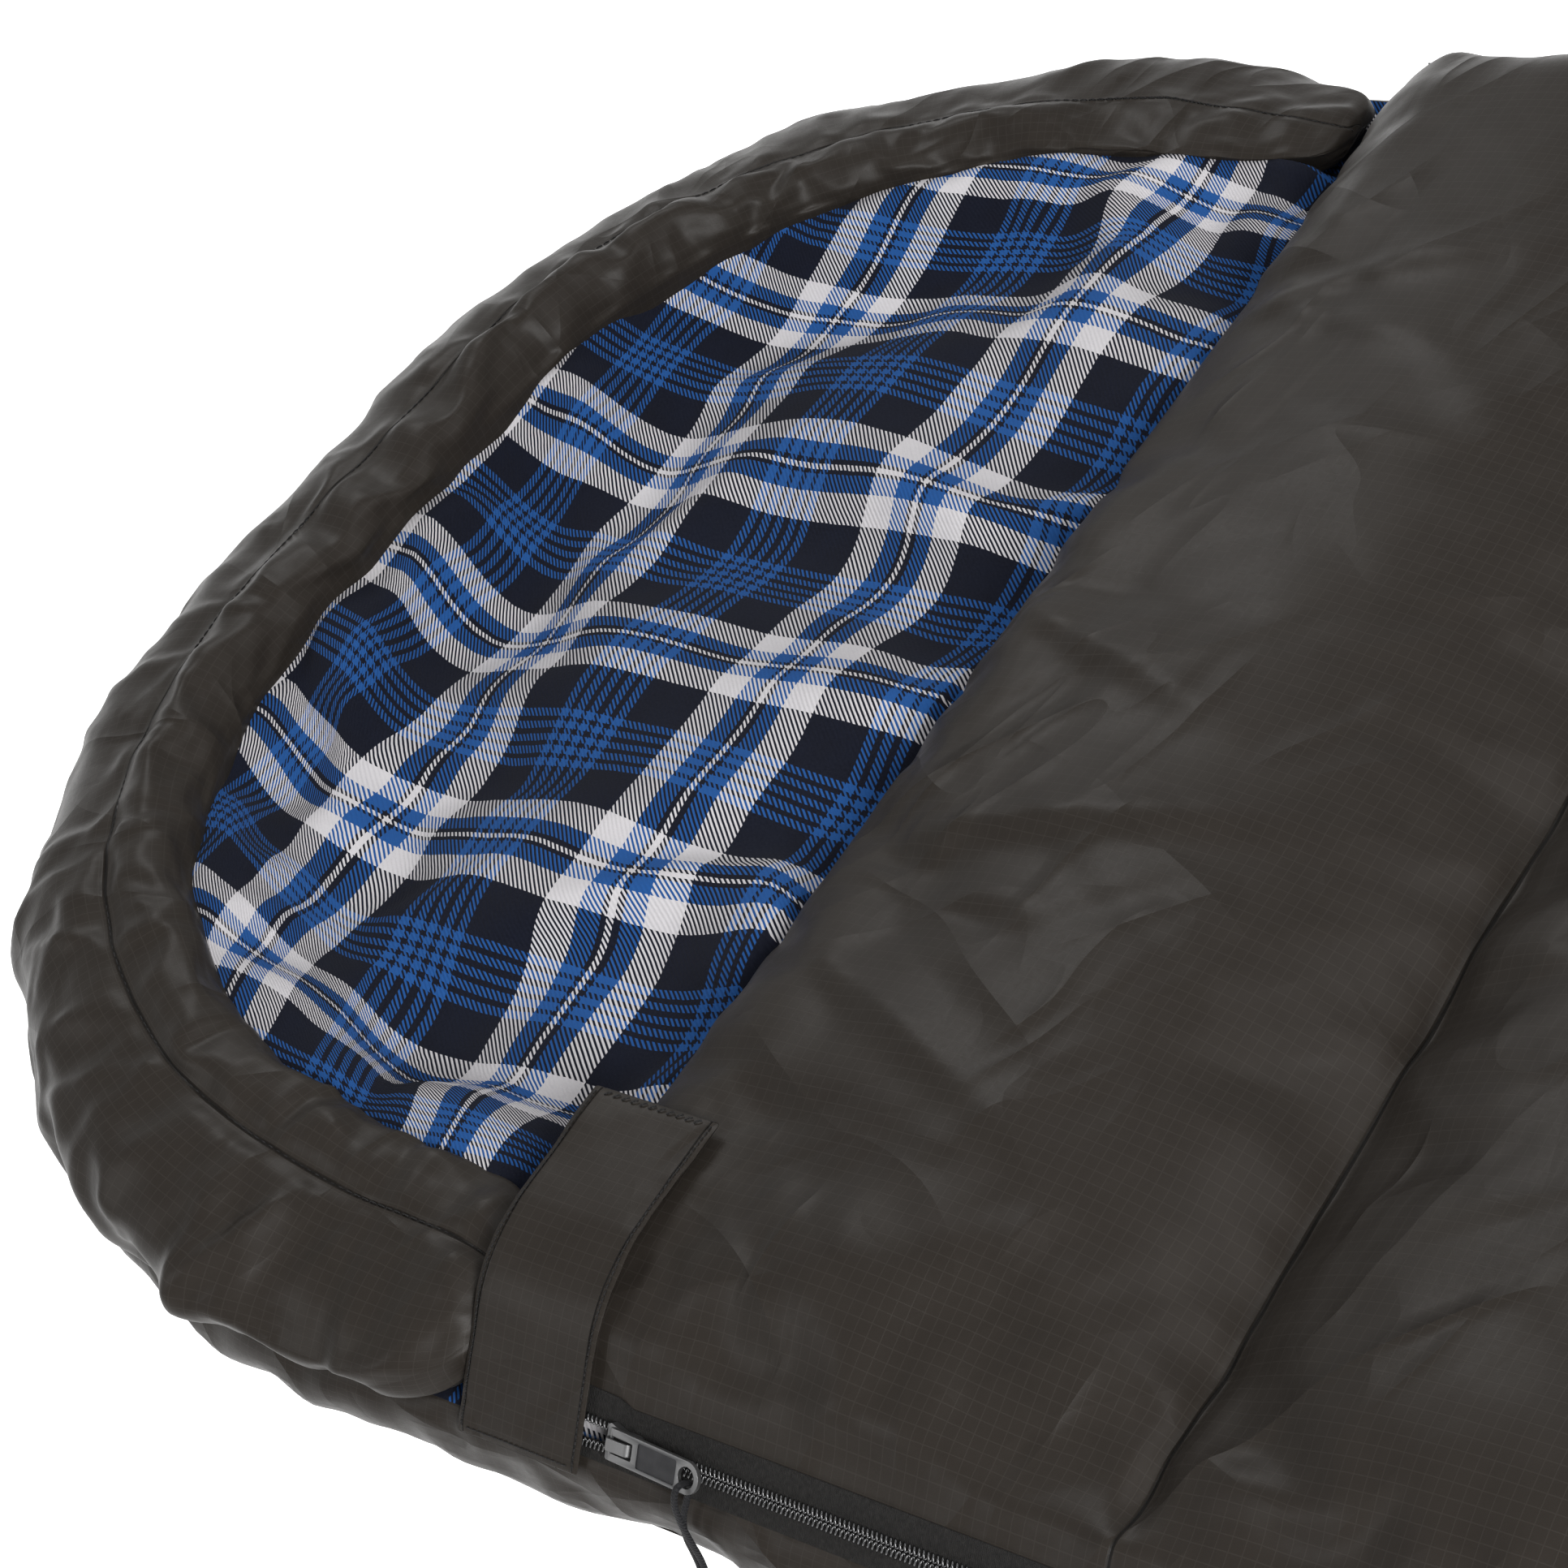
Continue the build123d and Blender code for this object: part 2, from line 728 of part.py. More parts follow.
patch("loop_patch", loop_floor)
patch("hook_patch", hook_floor)

# the flap lies level on the first channel and turns down over the zip
channel_half = (chain_x - mouth_x) / channel_count / 2
channel_radius = (channel_half**2 + (quilt_crown - quilt_lip) ** 2) / (quilt_crown - quilt_lip) / 2
flap_from_crown = channel_half - (flap_width - flap_setback)
flap_level = quilt_crown + ease - channel_radius * (
    1 - cos(asin(flap_from_crown / channel_radius))
)
turn_across = (flap_level - parting_height - flap_floor * tilt_cos) / tilt_sin

with BuildPart() as closure_flap:
    with BuildSketch(Plane.YZ.offset(flap_middle_x - flap_width / 2)):
        with BuildLine():
            FilletPolyline(
                zip_point(0, -flap_overlap, flap_floor)[1:],
                zip_point(0, turn_across, flap_floor)[1:],
                (chain_y + flap_reach, flap_level),
                radius=flap_bend,
            )
            offset(amount=flap_thickness, side=Side.LEFT)
        make_face()
    extrude(amount=flap_width)
finish(closure_flap, "closure_flap")

print("tab pivot", [round(value, 3) for value in tab_pivot])
print("flap hinge", [flap_middle_x, chain_y + flap_reach, flap_level + flap_thickness])
print("fold axis", [0, bag_width / 2 + ease, parting_height])
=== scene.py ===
"""Hooded rectangular sleeping bag: cloth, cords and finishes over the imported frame.

Everything is in metres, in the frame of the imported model: the foot is at +X, the zip side
at -Y and the floor at Z = 0.
"""

from math import cos, pi, radians, sin

import bmesh
import bpy
import numpy as np
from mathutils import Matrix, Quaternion, Vector


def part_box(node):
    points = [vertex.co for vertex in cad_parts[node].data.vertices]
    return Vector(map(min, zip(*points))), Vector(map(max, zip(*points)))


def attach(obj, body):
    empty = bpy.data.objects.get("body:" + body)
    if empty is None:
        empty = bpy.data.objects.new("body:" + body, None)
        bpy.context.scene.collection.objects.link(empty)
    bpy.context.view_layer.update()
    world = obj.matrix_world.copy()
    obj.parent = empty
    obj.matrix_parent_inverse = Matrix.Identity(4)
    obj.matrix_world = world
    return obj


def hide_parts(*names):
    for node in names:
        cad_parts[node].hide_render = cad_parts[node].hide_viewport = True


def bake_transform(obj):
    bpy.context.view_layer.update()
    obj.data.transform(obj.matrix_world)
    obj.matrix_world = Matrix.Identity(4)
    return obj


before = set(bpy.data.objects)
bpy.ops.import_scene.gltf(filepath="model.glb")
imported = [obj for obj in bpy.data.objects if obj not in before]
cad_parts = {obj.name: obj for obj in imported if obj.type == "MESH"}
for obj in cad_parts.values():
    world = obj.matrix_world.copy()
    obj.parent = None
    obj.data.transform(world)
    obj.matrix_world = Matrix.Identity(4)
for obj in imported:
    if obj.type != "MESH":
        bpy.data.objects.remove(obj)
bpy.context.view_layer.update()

MM = 0.001

# Places and sizes read from the frame
base_low, base_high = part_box("base_shell")
quilt_low, quilt_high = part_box("top_shell")
rim_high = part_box("hood_channel")[1]
HEAD_X, FOOT_X = base_low.x, base_high.x
NEAR_Y, FAR_Y = base_low.y, base_high.y
MOUTH_X = quilt_low.x
BASE_LOFT = base_high.z
QUILT_FLOOR = quilt_low.z
QUILT_CROWN = quilt_high.z
RIM_HEIGHT = rim_high.z
RIM_FAR_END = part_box("hood_shell")[1].x

# Sizes shared with the solids
PARTING = 48 * MM
ZIP_TILT = radians(45)
CHAIN_Y = NEAR_Y + 16 * MM
CHAIN_X = FOOT_X - 16 * MM
ZIP_CORNER = 70 * MM
SLIDER_X = MOUTH_X + 66 * MM
HOOD_RADIUS = 320 * MM
NEAR_FOOT_RADIUS = 86 * MM
FAR_FOOT_RADIUS = 30 * MM
CHANNELS = 7
SEAM_IN = 58 * MM
LIP_HEIGHT = 41.4 * MM
FLOOR_GAP = 0.3 * MM
SIM_FRAMES = 20

# ------------------------------------------------------------------ mesh tools


def lattice(ix, iy, seed):
    """One repeatable random number from -1 to 1 for each pair of whole numbers."""
    mixed = np.sin(ix * 127.1 + iy * 311.7 + seed * 74.7) * 43758.5453
    return 2 * (mixed - np.floor(mixed)) - 1


def noise(x, y, seed=0):
    """Smooth noise from about -1 to 1 that varies over a distance of 1."""
    ix, iy = np.floor(x), np.floor(y)
    fx, fy = x - ix, y - iy
    fx, fy = fx * fx * (3 - 2 * fx), fy * fy * (3 - 2 * fy)
    low = lattice(ix, iy, seed) * (1 - fx) + lattice(ix + 1, iy, seed) * fx
    high = lattice(ix, iy + 1, seed) * (1 - fx) + lattice(ix + 1, iy + 1, seed) * fx
    return low * (1 - fy) + high * fy


def crease(x, y, seed=0):
    """Ridged noise: sharp folds between broad valleys, from 0 to 1."""
    return (1 - np.abs(noise(x, y, seed))) ** 2


def tension_folds(x, y, folds):
    """Long folds, steep on one side and easy on the other, that run out from their anchors.

    Each fold holds its anchor in plan, its heading, its length, its width and its height.
    """
    height = np.zeros_like(x)
    for start_x, start_y, heading, length, width, rise in folds:
        c, s = cos(heading), sin(heading)
        ahead = ((x - start_x) * c + (y - start_y) * s) / length
        off = ((y - start_y) * c - (x - start_x) * s) / (width * (0.55 + np.clip(ahead, 0, 1)))
        slope = np.where(off > 0, np.exp(-np.abs(off)), np.exp(-np.abs(off) * 3.5))
        height += rise * slope * np.sin(pi * np.clip(ahead, 0, 1) ** 0.7)
    return height


def smooth(low, high, value):
    """0 below low, 1 above high, and a smooth rise between them."""
    t = np.clip((value - low) / (high - low), 0, 1)
    return t * t * (3 - 2 * t)


def add_object(name, data):
    """A new object in the scene."""
    made = bpy.data.objects.new(name, data)
    bpy.context.scene.collection.objects.link(made)
    return made


def make_object(name, points, faces, uv=None, materials=(), face_material=None):
    """A smooth-shaded mesh object; uv holds one pair for each corner of each face, in metres."""
    mesh = bpy.data.meshes.new(name)
    mesh.from_pydata([tuple(p) for p in points], [], [tuple(f) for f in faces])
    if uv is not None:
        layer = mesh.uv_layers.new(name="cloth")
        layer.data.foreach_set("uv", np.asarray(uv, np.float32).ravel())
    for material in materials:
        mesh.materials.append(material)
    if face_material is not None:
        mesh.polygons.foreach_set("material_index", np.asarray(face_material, np.int32))
    mesh.polygons.foreach_set("use_smooth", np.ones(len(mesh.polygons), bool))
    outward = bmesh.new()
    outward.from_mesh(mesh)
    bmesh.ops.recalc_face_normals(outward, faces=outward.faces)
    outward.to_mesh(mesh)
    outward.free()
    mesh.update()
    return add_object(name, mesh)


def grid_faces(rows, columns, wrap_rows=False, wrap_columns=False, start=0):
    """Quads of a grid whose points are numbered row by row."""
    i = np.arange(rows if wrap_rows else rows - 1)
    j = np.arange(columns if wrap_columns else columns - 1)
    i, j = np.meshgrid(i, j, indexing="ij")
    i, j = i.ravel(), j.ravel()
    k, m = (i + 1) % rows, (j + 1) % columns
    corners = [i * columns + j, k * columns + j, k * columns + m, i * columns + m]
    return np.stack(corners, axis=1) + start


def pad_mesh(name, top, bottom, band, top_uv, materials):
    """A closed pad from a top grid, a bottom grid and the loops of its side band.

    top and bottom share their plan; band holds the loops between them, from top to bottom,
    in the order of border_loop. The three materials are for top, band and bottom.
    """
    rows, columns = top.shape[:2]
    count = rows * columns
    loop = border_loop(rows, columns)
    points = [top.reshape(-1, 3), bottom.reshape(-1, 3)]
    rings = [loop]
    for ring in band:
        rings.append(np.arange(len(loop)) + sum(len(p) for p in points))
        points.append(ring)
    rings.append(loop + count)
    top_faces = grid_faces(rows, columns)
    bottom_faces = grid_faces(rows, columns, start=count)[:, ::-1]
    around = np.arange(len(loop))
    after = (around + 1) % len(loop)
    strips = [
        np.stack([upper[after], upper[around], lower[around], lower[after]], axis=1)
        for upper, lower in zip(rings, rings[1:])
    ]
    every = np.concatenate(points)
    along = route_length(every[loop], closed=True)
    strip_uv = []
    for row in range(len(strips)):
        high, low = row * 8 * MM, (row + 1) * 8 * MM
        corner = [(along[around + 1], high), (along[around], high)]
        corner += [(along[around], low), (along[around + 1], low)]
        strip_uv.append(np.stack([np.stack([u, np.full_like(u, v)], 1) for u, v in corner], 1))
    plan_uv = top_uv.reshape(-1, 2)
    uv = np.concatenate(
        [plan_uv[top_faces], plan_uv[bottom_faces - count]] + strip_uv
    )
    faces = np.concatenate([top_faces, bottom_faces] + strips)
    index = np.repeat([0, 2, 1], [len(top_faces), len(bottom_faces), sum(map(len, strips))])
    return make_object(name, every, faces, uv, materials, index)


def border_loop(rows, columns):
    """Numbers of a grid's border points, in order, with rows along +X and columns along +Y."""
    near = np.arange(rows) * columns
    foot = (rows - 1) * columns + np.arange(1, columns)
    far = np.arange(rows - 2, -1, -1) * columns + columns - 1
    head = np.arange(columns - 2, 0, -1)
    return np.concatenate([near, foot, far, head])


def route_length(route, closed=False):
    """Distance travelled at each point of a route, and at its start again if it is closed."""
    if closed:
        route = np.concatenate([route, route[:1]])
    return np.concatenate([[0], np.cumsum(np.linalg.norm(np.diff(route, axis=0), axis=1))])


def stretch(x, y, out_x, out_y):
    """Part of a route in plan: a place and an outward direction in each row."""
    return np.column_stack(np.broadcast_arrays(x, y, out_x, out_y))


def arc(centre_x, centre_y, radius, angles):
    """Part of a route in plan that turns round a corner."""
    c, s = np.cos(angles), np.sin(angles)
    return stretch(centre_x + radius * c, centre_y + radius * s, c, s)


def loop_normals(loop_points):
    """Outward directions in plan along a closed loop that runs anticlockwise."""
    ahead = np.roll(loop_points, -1, axis=0)[:, :2] - np.roll(loop_points, 1, axis=0)[:, :2]
    ahead /= np.linalg.norm(ahead, axis=1)[:, None] + 1e-12
    return np.stack([ahead[:, 1], -ahead[:, 0]], axis=1)


def side_span(x, low_x, high_x, low_y, high_y, radii):
    """Near and far limits in Y of a rounded rectangle at x; radii as near foot, far foot, head."""
    near_foot, far_foot, head = radii

    def bite(radius, corner_x, sign):
        depth = np.clip(sign * (x - (corner_x - sign * radius)), 0, radius)
        return radius - np.sqrt(np.maximum(radius**2 - depth**2, 0))

    near = low_y + bite(head, low_x, -1) + bite(near_foot, high_x, 1)
    far = high_y - bite(head, low_x, -1) - bite(far_foot, high_x, 1)
    return near, far


def plan_columns(low_x, high_x, head_radius, foot_radius, step):
    """Stations in X, close together where the plan's ends are round."""
    turns = int(head_radius * pi / 2 / step)
    head = low_x + head_radius * (1 - np.cos(np.linspace(0, pi / 2, turns)))
    middle = np.arange(head[-1] + step, high_x - foot_radius, step)
    turns = max(int(foot_radius * pi / 2 / step), 4)
    foot = high_x - foot_radius * (1 - np.sin(np.linspace(0, pi / 2, turns)))
    return np.concatenate([head, middle, foot])


def inflate(grid, held, pressure, slack, cap, stiffness, passes, floor=None, faces=None,
            wrap=False):
    """Blows up a grid of cloth, with its sewn points held, and smooths it a little.

    held has a weight from 0 to 1 for each point, slack is the share by which the cloth is
    larger than its form, cap is about the furthest that any point may move, and passes is
    how often it is smoothed.
    """
    if faces is None:
        faces = grid_faces(*held.shape, wrap_columns=wrap)
    blown = grid.reshape(-1, 3)
    blown = simulate(blown, faces, held.ravel(), pressure, slack, cap, stiffness)
    if floor is not None:
        blown[:, 2] = np.maximum(blown[:, 2], floor)
    return relax(blown.reshape(grid.shape), held, passes, wrap)


def simulate(points, faces, pinned, pressure, slack, cap, stiffness):
    """New places of a piece's points after Blender's Cloth has blown it up."""
    scene = bpy.context.scene
    made = make_object("inflating_cloth", points, faces)
    count = len(points)
    group = made.vertex_groups.new(name="sewn")
    weights = np.round(pinned, 2)
    for weight in np.unique(weights):
        if weight > 0:
            group.add(np.nonzero(weights == weight)[0].tolist(), float(weight), "REPLACE")
    cloth = made.modifiers.new("cloth", "CLOTH")
    cloth.settings.quality = 3
    cloth.settings.mass = 0.25
    cloth.settings.tension_stiffness = 18
    cloth.settings.compression_stiffness = 18
    cloth.settings.shear_stiffness = 4
    cloth.settings.bending_stiffness = stiffness
    cloth.settings.use_pressure = True
    cloth.settings.uniform_pressure_force = pressure
    cloth.settings.shrink_min = -slack
    cloth.settings.vertex_group_mass = "sewn"
    cloth.settings.effector_weights.gravity = 0
    cloth.collision_settings.use_collision = False
    cloth.point_cache.frame_start = 1
    cloth.point_cache.frame_end = SIM_FRAMES
    for number in range(1, SIM_FRAMES + 1):
        scene.frame_set(number)
    graph = bpy.context.evaluated_depsgraph_get()
    after = np.empty(count * 3)
    made.evaluated_get(graph).data.vertices.foreach_get("co", after)
    mesh = made.data
    bpy.data.objects.remove(made)
    bpy.data.meshes.remove(mesh)
    scene.frame_set(1)
    moved = after.reshape(-1, 3) - points
    length = np.linalg.norm(moved, axis=1)
    share = np.where(length > 1e-9, cap * np.tanh(length / cap) / np.maximum(length, 1e-9), 1)
    return points + moved * share[:, None]


def relax(grid, held, passes, wrap=False):
    """Smooths a grid of points a little, so that no fold is as narrow as its mesh."""
    grid = np.array(grid)
    free = (1 - np.clip(held, 0, 1))[..., None]
    for _ in range(passes):
        mean = grid.copy()
        mean[1:-1] = (grid[:-2] + grid[2:] + 2 * grid[1:-1]) / 4
        across = mean.copy()
        if wrap:
            across = (np.roll(mean, 1, axis=1) + np.roll(mean, -1, axis=1) + 2 * mean) / 4
        else:
            across[:, 1:-1] = (mean[:, :-2] + mean[:, 2:] + 2 * mean[:, 1:-1]) / 4
        grid += (across - grid) * free
    return grid


def fit_outline(points):
    """Moves the hood's cloth a little: fuller at the zip side's corner, slimmer at the other."""
    points = np.array(points, float)
    x = points[..., 0] - (MOUTH_X - 80 * MM)
    y = points[..., 1]
    reach = np.hypot(x, y)
    side = np.where(x < 0, np.sin(2 * np.arctan2(-y, -x)), 0)
    amount = np.where(side > 0, 13 * MM, 17 * MM) * side * smooth(120 * MM, 380 * MM, reach)
    amount = amount * smooth(0, 120 * MM, -x)
    points[..., 0] += amount * x / (reach + 1e-9)
    points[..., 1] += amount * y / (reach + 1e-9)
    return points


def soften(made):
    """One level of subdivision over a finished piece."""
    modifier = made.modifiers.new("soft", "SUBSURF")
    modifier.levels = 1
    modifier.render_levels = 1


# ------------------------------------------------------------------- materials


def new_graph(name):
    """The empty graph of a new material."""
    material = bpy.data.materials.new(name)
    material.use_nodes = True
    material.node_tree.nodes.clear()
    return Graph(material)


class Graph:
    """Adds shader nodes to a material or world, and joins them."""

    def __init__(self, owner):
        self.owner = owner
        self.tree = owner.node_tree

    def add(self, kind, settings=(), **inputs):
        node = self.tree.nodes.new(kind)
        for key, value in dict(settings).items():
            setattr(node, key, value)
        for key, value in inputs.items():
            place = int(key[1:]) if key[0] == "_" else key.replace("_", " ")
            self.put(node.inputs[place], value)
        return node

    def put(self, socket, value):
        if isinstance(value, bpy.types.NodeSocket):
            self.tree.links.new(value, socket)
        else:
            socket.default_value = value

    def math(self, operation, a, b=0.0, clamp=False):
        node = self.add("ShaderNodeMath", {"operation": operation, "use_clamp": clamp}, _0=a, _1=b)
        return node.outputs[0]

    def times(self, a, b, plus=None):
        product = self.math("MULTIPLY", a, b)
        return product if plus is None else self.math("ADD", product, plus)

    def mix(self, factor, a, b):
        settings = {"data_type": "RGBA", "blend_type": "MIX"}
        return self.add("ShaderNodeMix", settings, _0=factor, _6=a, _7=b).outputs[2]

    def tint(self, tone, where, share, colour):
        """The tone, with a share of another colour laid over it in places."""
        return self.mix(self.times(where, share), tone, colour)

    def coordinate(self, kind):
        return self.add("ShaderNodeTexCoord").outputs[kind]

    def seen(self):
        """1 where the camera looks, directly or by a gloss or glass, and 0 elsewhere."""
        path = self.add("ShaderNodeLightPath").outputs
        seen = self.math("MAXIMUM", path["Is Camera Ray"], path["Is Glossy Ray"])
        return self.math("MAXIMUM", seen, path["Is Transmission Ray"])

    def noise(self, vector, scale, detail=2.0, distortion=0.0):
        node = self.add(
            "ShaderNodeTexNoise", Vector=vector, Scale=scale, Detail=detail, Distortion=distortion
        )
        return node.outputs["Fac"]

    def creases(self, vector, turned, scale):
        """Long sharp folds that lie at one angle, in scattered places."""
        placing = {"vector_type": "POINT"}
        laid = self.add("ShaderNodeMapping", placing, Vector=vector, Rotation=(0, 0, turned))
        drawn = self.add("ShaderNodeMapping", placing, Vector=laid.outputs[0], Scale=(0.3, 1, 1))
        off = self.math("SUBTRACT", self.noise(drawn.outputs[0], scale, 1.0, 0.3), 0.5)
        off = self.math("ABSOLUTE", off)
        sharp = self.math("SUBTRACT", 1.0, self.times(off, 7.0), clamp=True)
        where = self.noise(laid.outputs[0], scale * 0.45, 1.0)
        where = self.math("MULTIPLY", self.math("SUBTRACT", where, 0.46), 9.0, clamp=True)
        return self.times(self.math("POWER", sharp, 1.6), where)

    def ramp(self, value, stops, interpolation="LINEAR"):
        node = self.add("ShaderNodeValToRGB", _0=value)
        ramp = node.color_ramp
        ramp.interpolation = interpolation
        for place, colour in stops[len(ramp.elements) :]:
            ramp.elements.new(place)
        for element, (place, colour) in zip(ramp.elements, stops):
            element.position = place
            element.color = (*colour, 1) if len(colour) == 3 else colour
        return node.outputs[0]

    def bump(self, height, distance, strength=1.0, normal=None):
        node = self.add("ShaderNodeBump", Height=height, Distance=distance, Strength=strength)
        if normal is not None:
            self.put(node.inputs["Normal"], normal)
        return node.outputs[0]

    def finish(self, colour, normal=None, **constants):
        shader = self.add("ShaderNodeBsdfPrincipled")
        self.put(shader.inputs["Base Color"], colour)
        if normal is not None:
            self.put(shader.inputs["Normal"], normal)
        for key, value in constants.items():
            self.put(shader.inputs[key.replace("_", " ")], value)
        self.add("ShaderNodeOutputMaterial", _0=shader.outputs[0])
        return self.owner


def shell_material(name="shell_satin", place="UV", seam=None, seam_shade_width=1.1 * MM):
    """Dark brown-charcoal satin polyester, with a faint ripstop grid and fine crinkles.

    seam gives the cloth axis, the first place and the spacing of the sewn lines across it.
    Each sewn line gets a near-black stripe of painted shade, where its groove would be in shadow.
    """
    g = new_graph(name)
    cloth = g.coordinate(place)
    crinkle = g.noise(cloth, 55.0, 4.0, 0.6)
    fine = g.noise(cloth, 420.0, 2.0)
    split = g.add("ShaderNodeSeparateXYZ", _0=cloth)
    lines = []
    for axis in (0, 1):
        turn = g.math("FRACT", g.times(split.outputs[axis], 1 / (5 * MM)))
        lines.append(g.math("LESS_THAN", turn, 0.07))
    grid = g.math("MAXIMUM", lines[0], lines[1])
    weave = g.noise(cloth, 1500.0, 1.0)
    tone = g.mix(crinkle, (0.0135, 0.0112, 0.0092, 1), (0.0195, 0.0165, 0.0138, 1))
    tone = g.tint(tone, grid, 0.16, (0.05, 0.045, 0.04, 1))
    rough = g.times(fine, 0.12, plus=0.33)
    relief = g.bump(crinkle, 1.0 * MM, 0.12)
    for turned, scale, depth in ((0.5, 13.0, 3.2), (-0.75, 17.0, 2.6), (1.9, 24.0, 1.6)):
        relief = g.bump(g.creases(cloth, turned, scale), depth * MM, 0.6, relief)
    if seam:
        axis, first, spacing = seam
        off = g.math("SUBTRACT", split.outputs[axis], first)
        off = g.math("PINGPONG", off, spacing / 2)
        off = g.math("ABSOLUTE", off)
        line = g.math("SUBTRACT", 1.0, g.math("DIVIDE", off, seam_shade_width), clamp=True)
        # painted shade: the colour goes nearly black along each sewn line's groove; the bump below
        # also sinks the groove
        tone = g.tint(tone, line, 0.85, (0.003, 0.003, 0.003, 1))
        relief = g.bump(g.math("SUBTRACT", 1.0, line), 1.2 * MM, 0.9, relief)
    relief = g.bump(weave, 0.08 * MM, 0.35, relief)
    relief = g.bump(grid, 0.08 * MM, 0.3, relief)
    return g.finish(
        tone, relief, Roughness=rough, Sheen_Weight=0.01, Sheen_Roughness=0.4,
        Specular_IOR_Level=0.068,
    )


WHITE = (0.46, 0.445, 0.455)
BLUE = (0.010, 0.060, 0.205)
BLACK = (0.002, 0.002, 0.004)
BROAD_STRIPE = [(0.103, WHITE), (0.062, BLUE), (0.016, BLACK)]
SETT = [
    *BROAD_STRIPE, (0.022, WHITE), *reversed(BROAD_STRIPE),
    (0.185, BLACK), *[(0.030, BLUE), (0.020, BLACK)] * 4, (0.030, BLUE), (0.201, BLACK),
]
SETT_LENGTH = 145.5 * MM
SETT_WIDTH = 115.6 * MM
SETT_ORIGIN = (MOUTH_X - 79.3 * MM, CHAIN_Y + 3.8 * MM)
BAND_HALF = 0.192


def flannel_material(name="flannel_check"):
    """Brushed cotton twill in a blue, black and white check, woven from two sets of threads."""
    g = new_graph(name)
    cloth = g.coordinate("UV")
    wander = g.noise(cloth, 130.0, 2.0)
    split = g.add("ShaderNodeSeparateXYZ", _0=cloth)
    shift = g.times(g.math("SUBTRACT", wander, 0.5), 0.8 * MM)
    threads = []
    for axis, repeat in ((0, SETT_LENGTH), (1, SETT_WIDTH)):
        place = g.math("ADD", g.math("SUBTRACT", split.outputs[axis], SETT_ORIGIN[axis]), shift)
        turn = g.math("FRACT", g.math("ADD", g.math("DIVIDE", place, repeat), 40 + BAND_HALF))
        stops, reached = [], 0.0
        for width, colour in SETT:
            stops.append((reached, colour))
            reached += width
        threads.append(g.ramp(turn, stops, "CONSTANT"))
    diagonal = g.math("ADD", split.outputs[0], split.outputs[1])
    diagonal = g.math("ADD", diagonal, g.times(shift, 0.5))
    twill = g.math("SINE", g.times(diagonal, 2 * pi / (2.5 * MM)))
    mask = g.math("ADD", g.times(twill, 1.5), 0.5, clamp=True)
    woven = g.mix(mask, threads[0], threads[1])
    nap = g.noise(cloth, 900.0, 3.0)
    fluff = g.noise(cloth, 60.0, 3.0)
    woven = g.tint(woven, nap, 0.10, (0.07, 0.08, 0.11, 1))
    woven = g.tint(woven, fluff, 0.14, (0.012, 0.02, 0.05, 1))
    relief = g.bump(g.times(twill, 0.5, plus=nap), 0.35 * MM, 0.6)
    return g.finish(
        woven, relief, Roughness=0.95, Sheen_Weight=0.015, Sheen_Roughness=0.6,
        Specular_IOR_Level=0.04,
    )


def tape_material():
    """Black woven zip tape with a herringbone rib."""
    g = new_graph("zip_tape_weave")
    cloth = g.coordinate("Object")
    ribs = g.add("ShaderNodeTexWave", {"bands_direction": "X"}, Vector=cloth, Scale=420.0)
    ribs.inputs["Distortion"].default_value = 1.2
    fuzz = g.noise(cloth, 1400.0, 2.0)
    grain = g.noise(cloth, 620.0, 2.0)
    tone = g.mix(grain, (0.001, 0.001, 0.001, 1), (0.018, 0.017, 0.016, 1))
    relief = g.bump(g.math("ADD", ribs.outputs["Fac"], fuzz), 0.3 * MM, 0.9)
    relief = g.bump(grain, 0.7 * MM, 0.8, relief)
    return g.finish(tone, relief, Roughness=0.85, Sheen_Weight=0.02, Specular_IOR_Level=0.12)


def coil_material():
    """Glossy black nylon, a little scuffed."""
    g = new_graph("zip_coil_nylon")
    place = g.coordinate("Object")
    scuff = g.noise(place, 900.0, 3.0)
    tone = g.mix(scuff, (0.004, 0.004, 0.005, 1), (0.020, 0.020, 0.021, 1))
    rough = g.times(scuff, 0.16, plus=0.12)
    return g.finish(tone, g.bump(scuff, 0.05 * MM, 0.4), Roughness=rough, Coat_Weight=0.35)


def metal_material():
    """Gunmetal plating with cast grain, lighter in colour along its sharp edges."""
    g = new_graph("gunmetal_plating")
    place = g.coordinate("Object")
    grain = g.noise(place, 1600.0, 3.0)
    cloud = g.noise(place, 160.0, 3.0)
    edges = g.add("ShaderNodeNewGeometry").outputs["Pointiness"]
    edge_lighter = g.ramp(edges, [(0.5, (0, 0, 0)), (0.62, (1, 1, 1))])
    tone = g.mix(cloud, (0.012, 0.012, 0.013, 1), (0.034, 0.034, 0.036, 1))
    # the colour is made lighter along sharp edges, found from pointiness
    tone = g.tint(tone, edge_lighter, 0.5, (0.22, 0.22, 0.22, 1))
    rough = g.times(grain, 0.18, plus=0.30)
    soft = g.add("ShaderNodeBevel", {"samples": 4}, Radius=0.35 * MM).outputs[0]
    return g.finish(tone, g.bump(grain, 0.06 * MM, 0.35, soft), Roughness=rough, Metallic=0.9)


def cord_material(name="cord_braid", tone=(0.004, 0.004, 0.005, 1)):
    """Black braided polyester cord."""
    g = new_graph(name)
    place = g.coordinate("Object")
    fuzz = g.noise(place, 1800.0, 3.0)
    wave = g.add("ShaderNodeTexWave", {"bands_direction": "DIAGONAL"}, Vector=place, Scale=380.0)
    colour = g.mix(fuzz, tone, (0.014, 0.014, 0.015, 1))
    relief = g.bump(g.math("ADD", wave.outputs["Fac"], fuzz), 0.3 * MM, 0.9)
    return g.finish(colour, relief, Roughness=0.62, Sheen_Weight=0.01, Specular_IOR_Level=0.12)


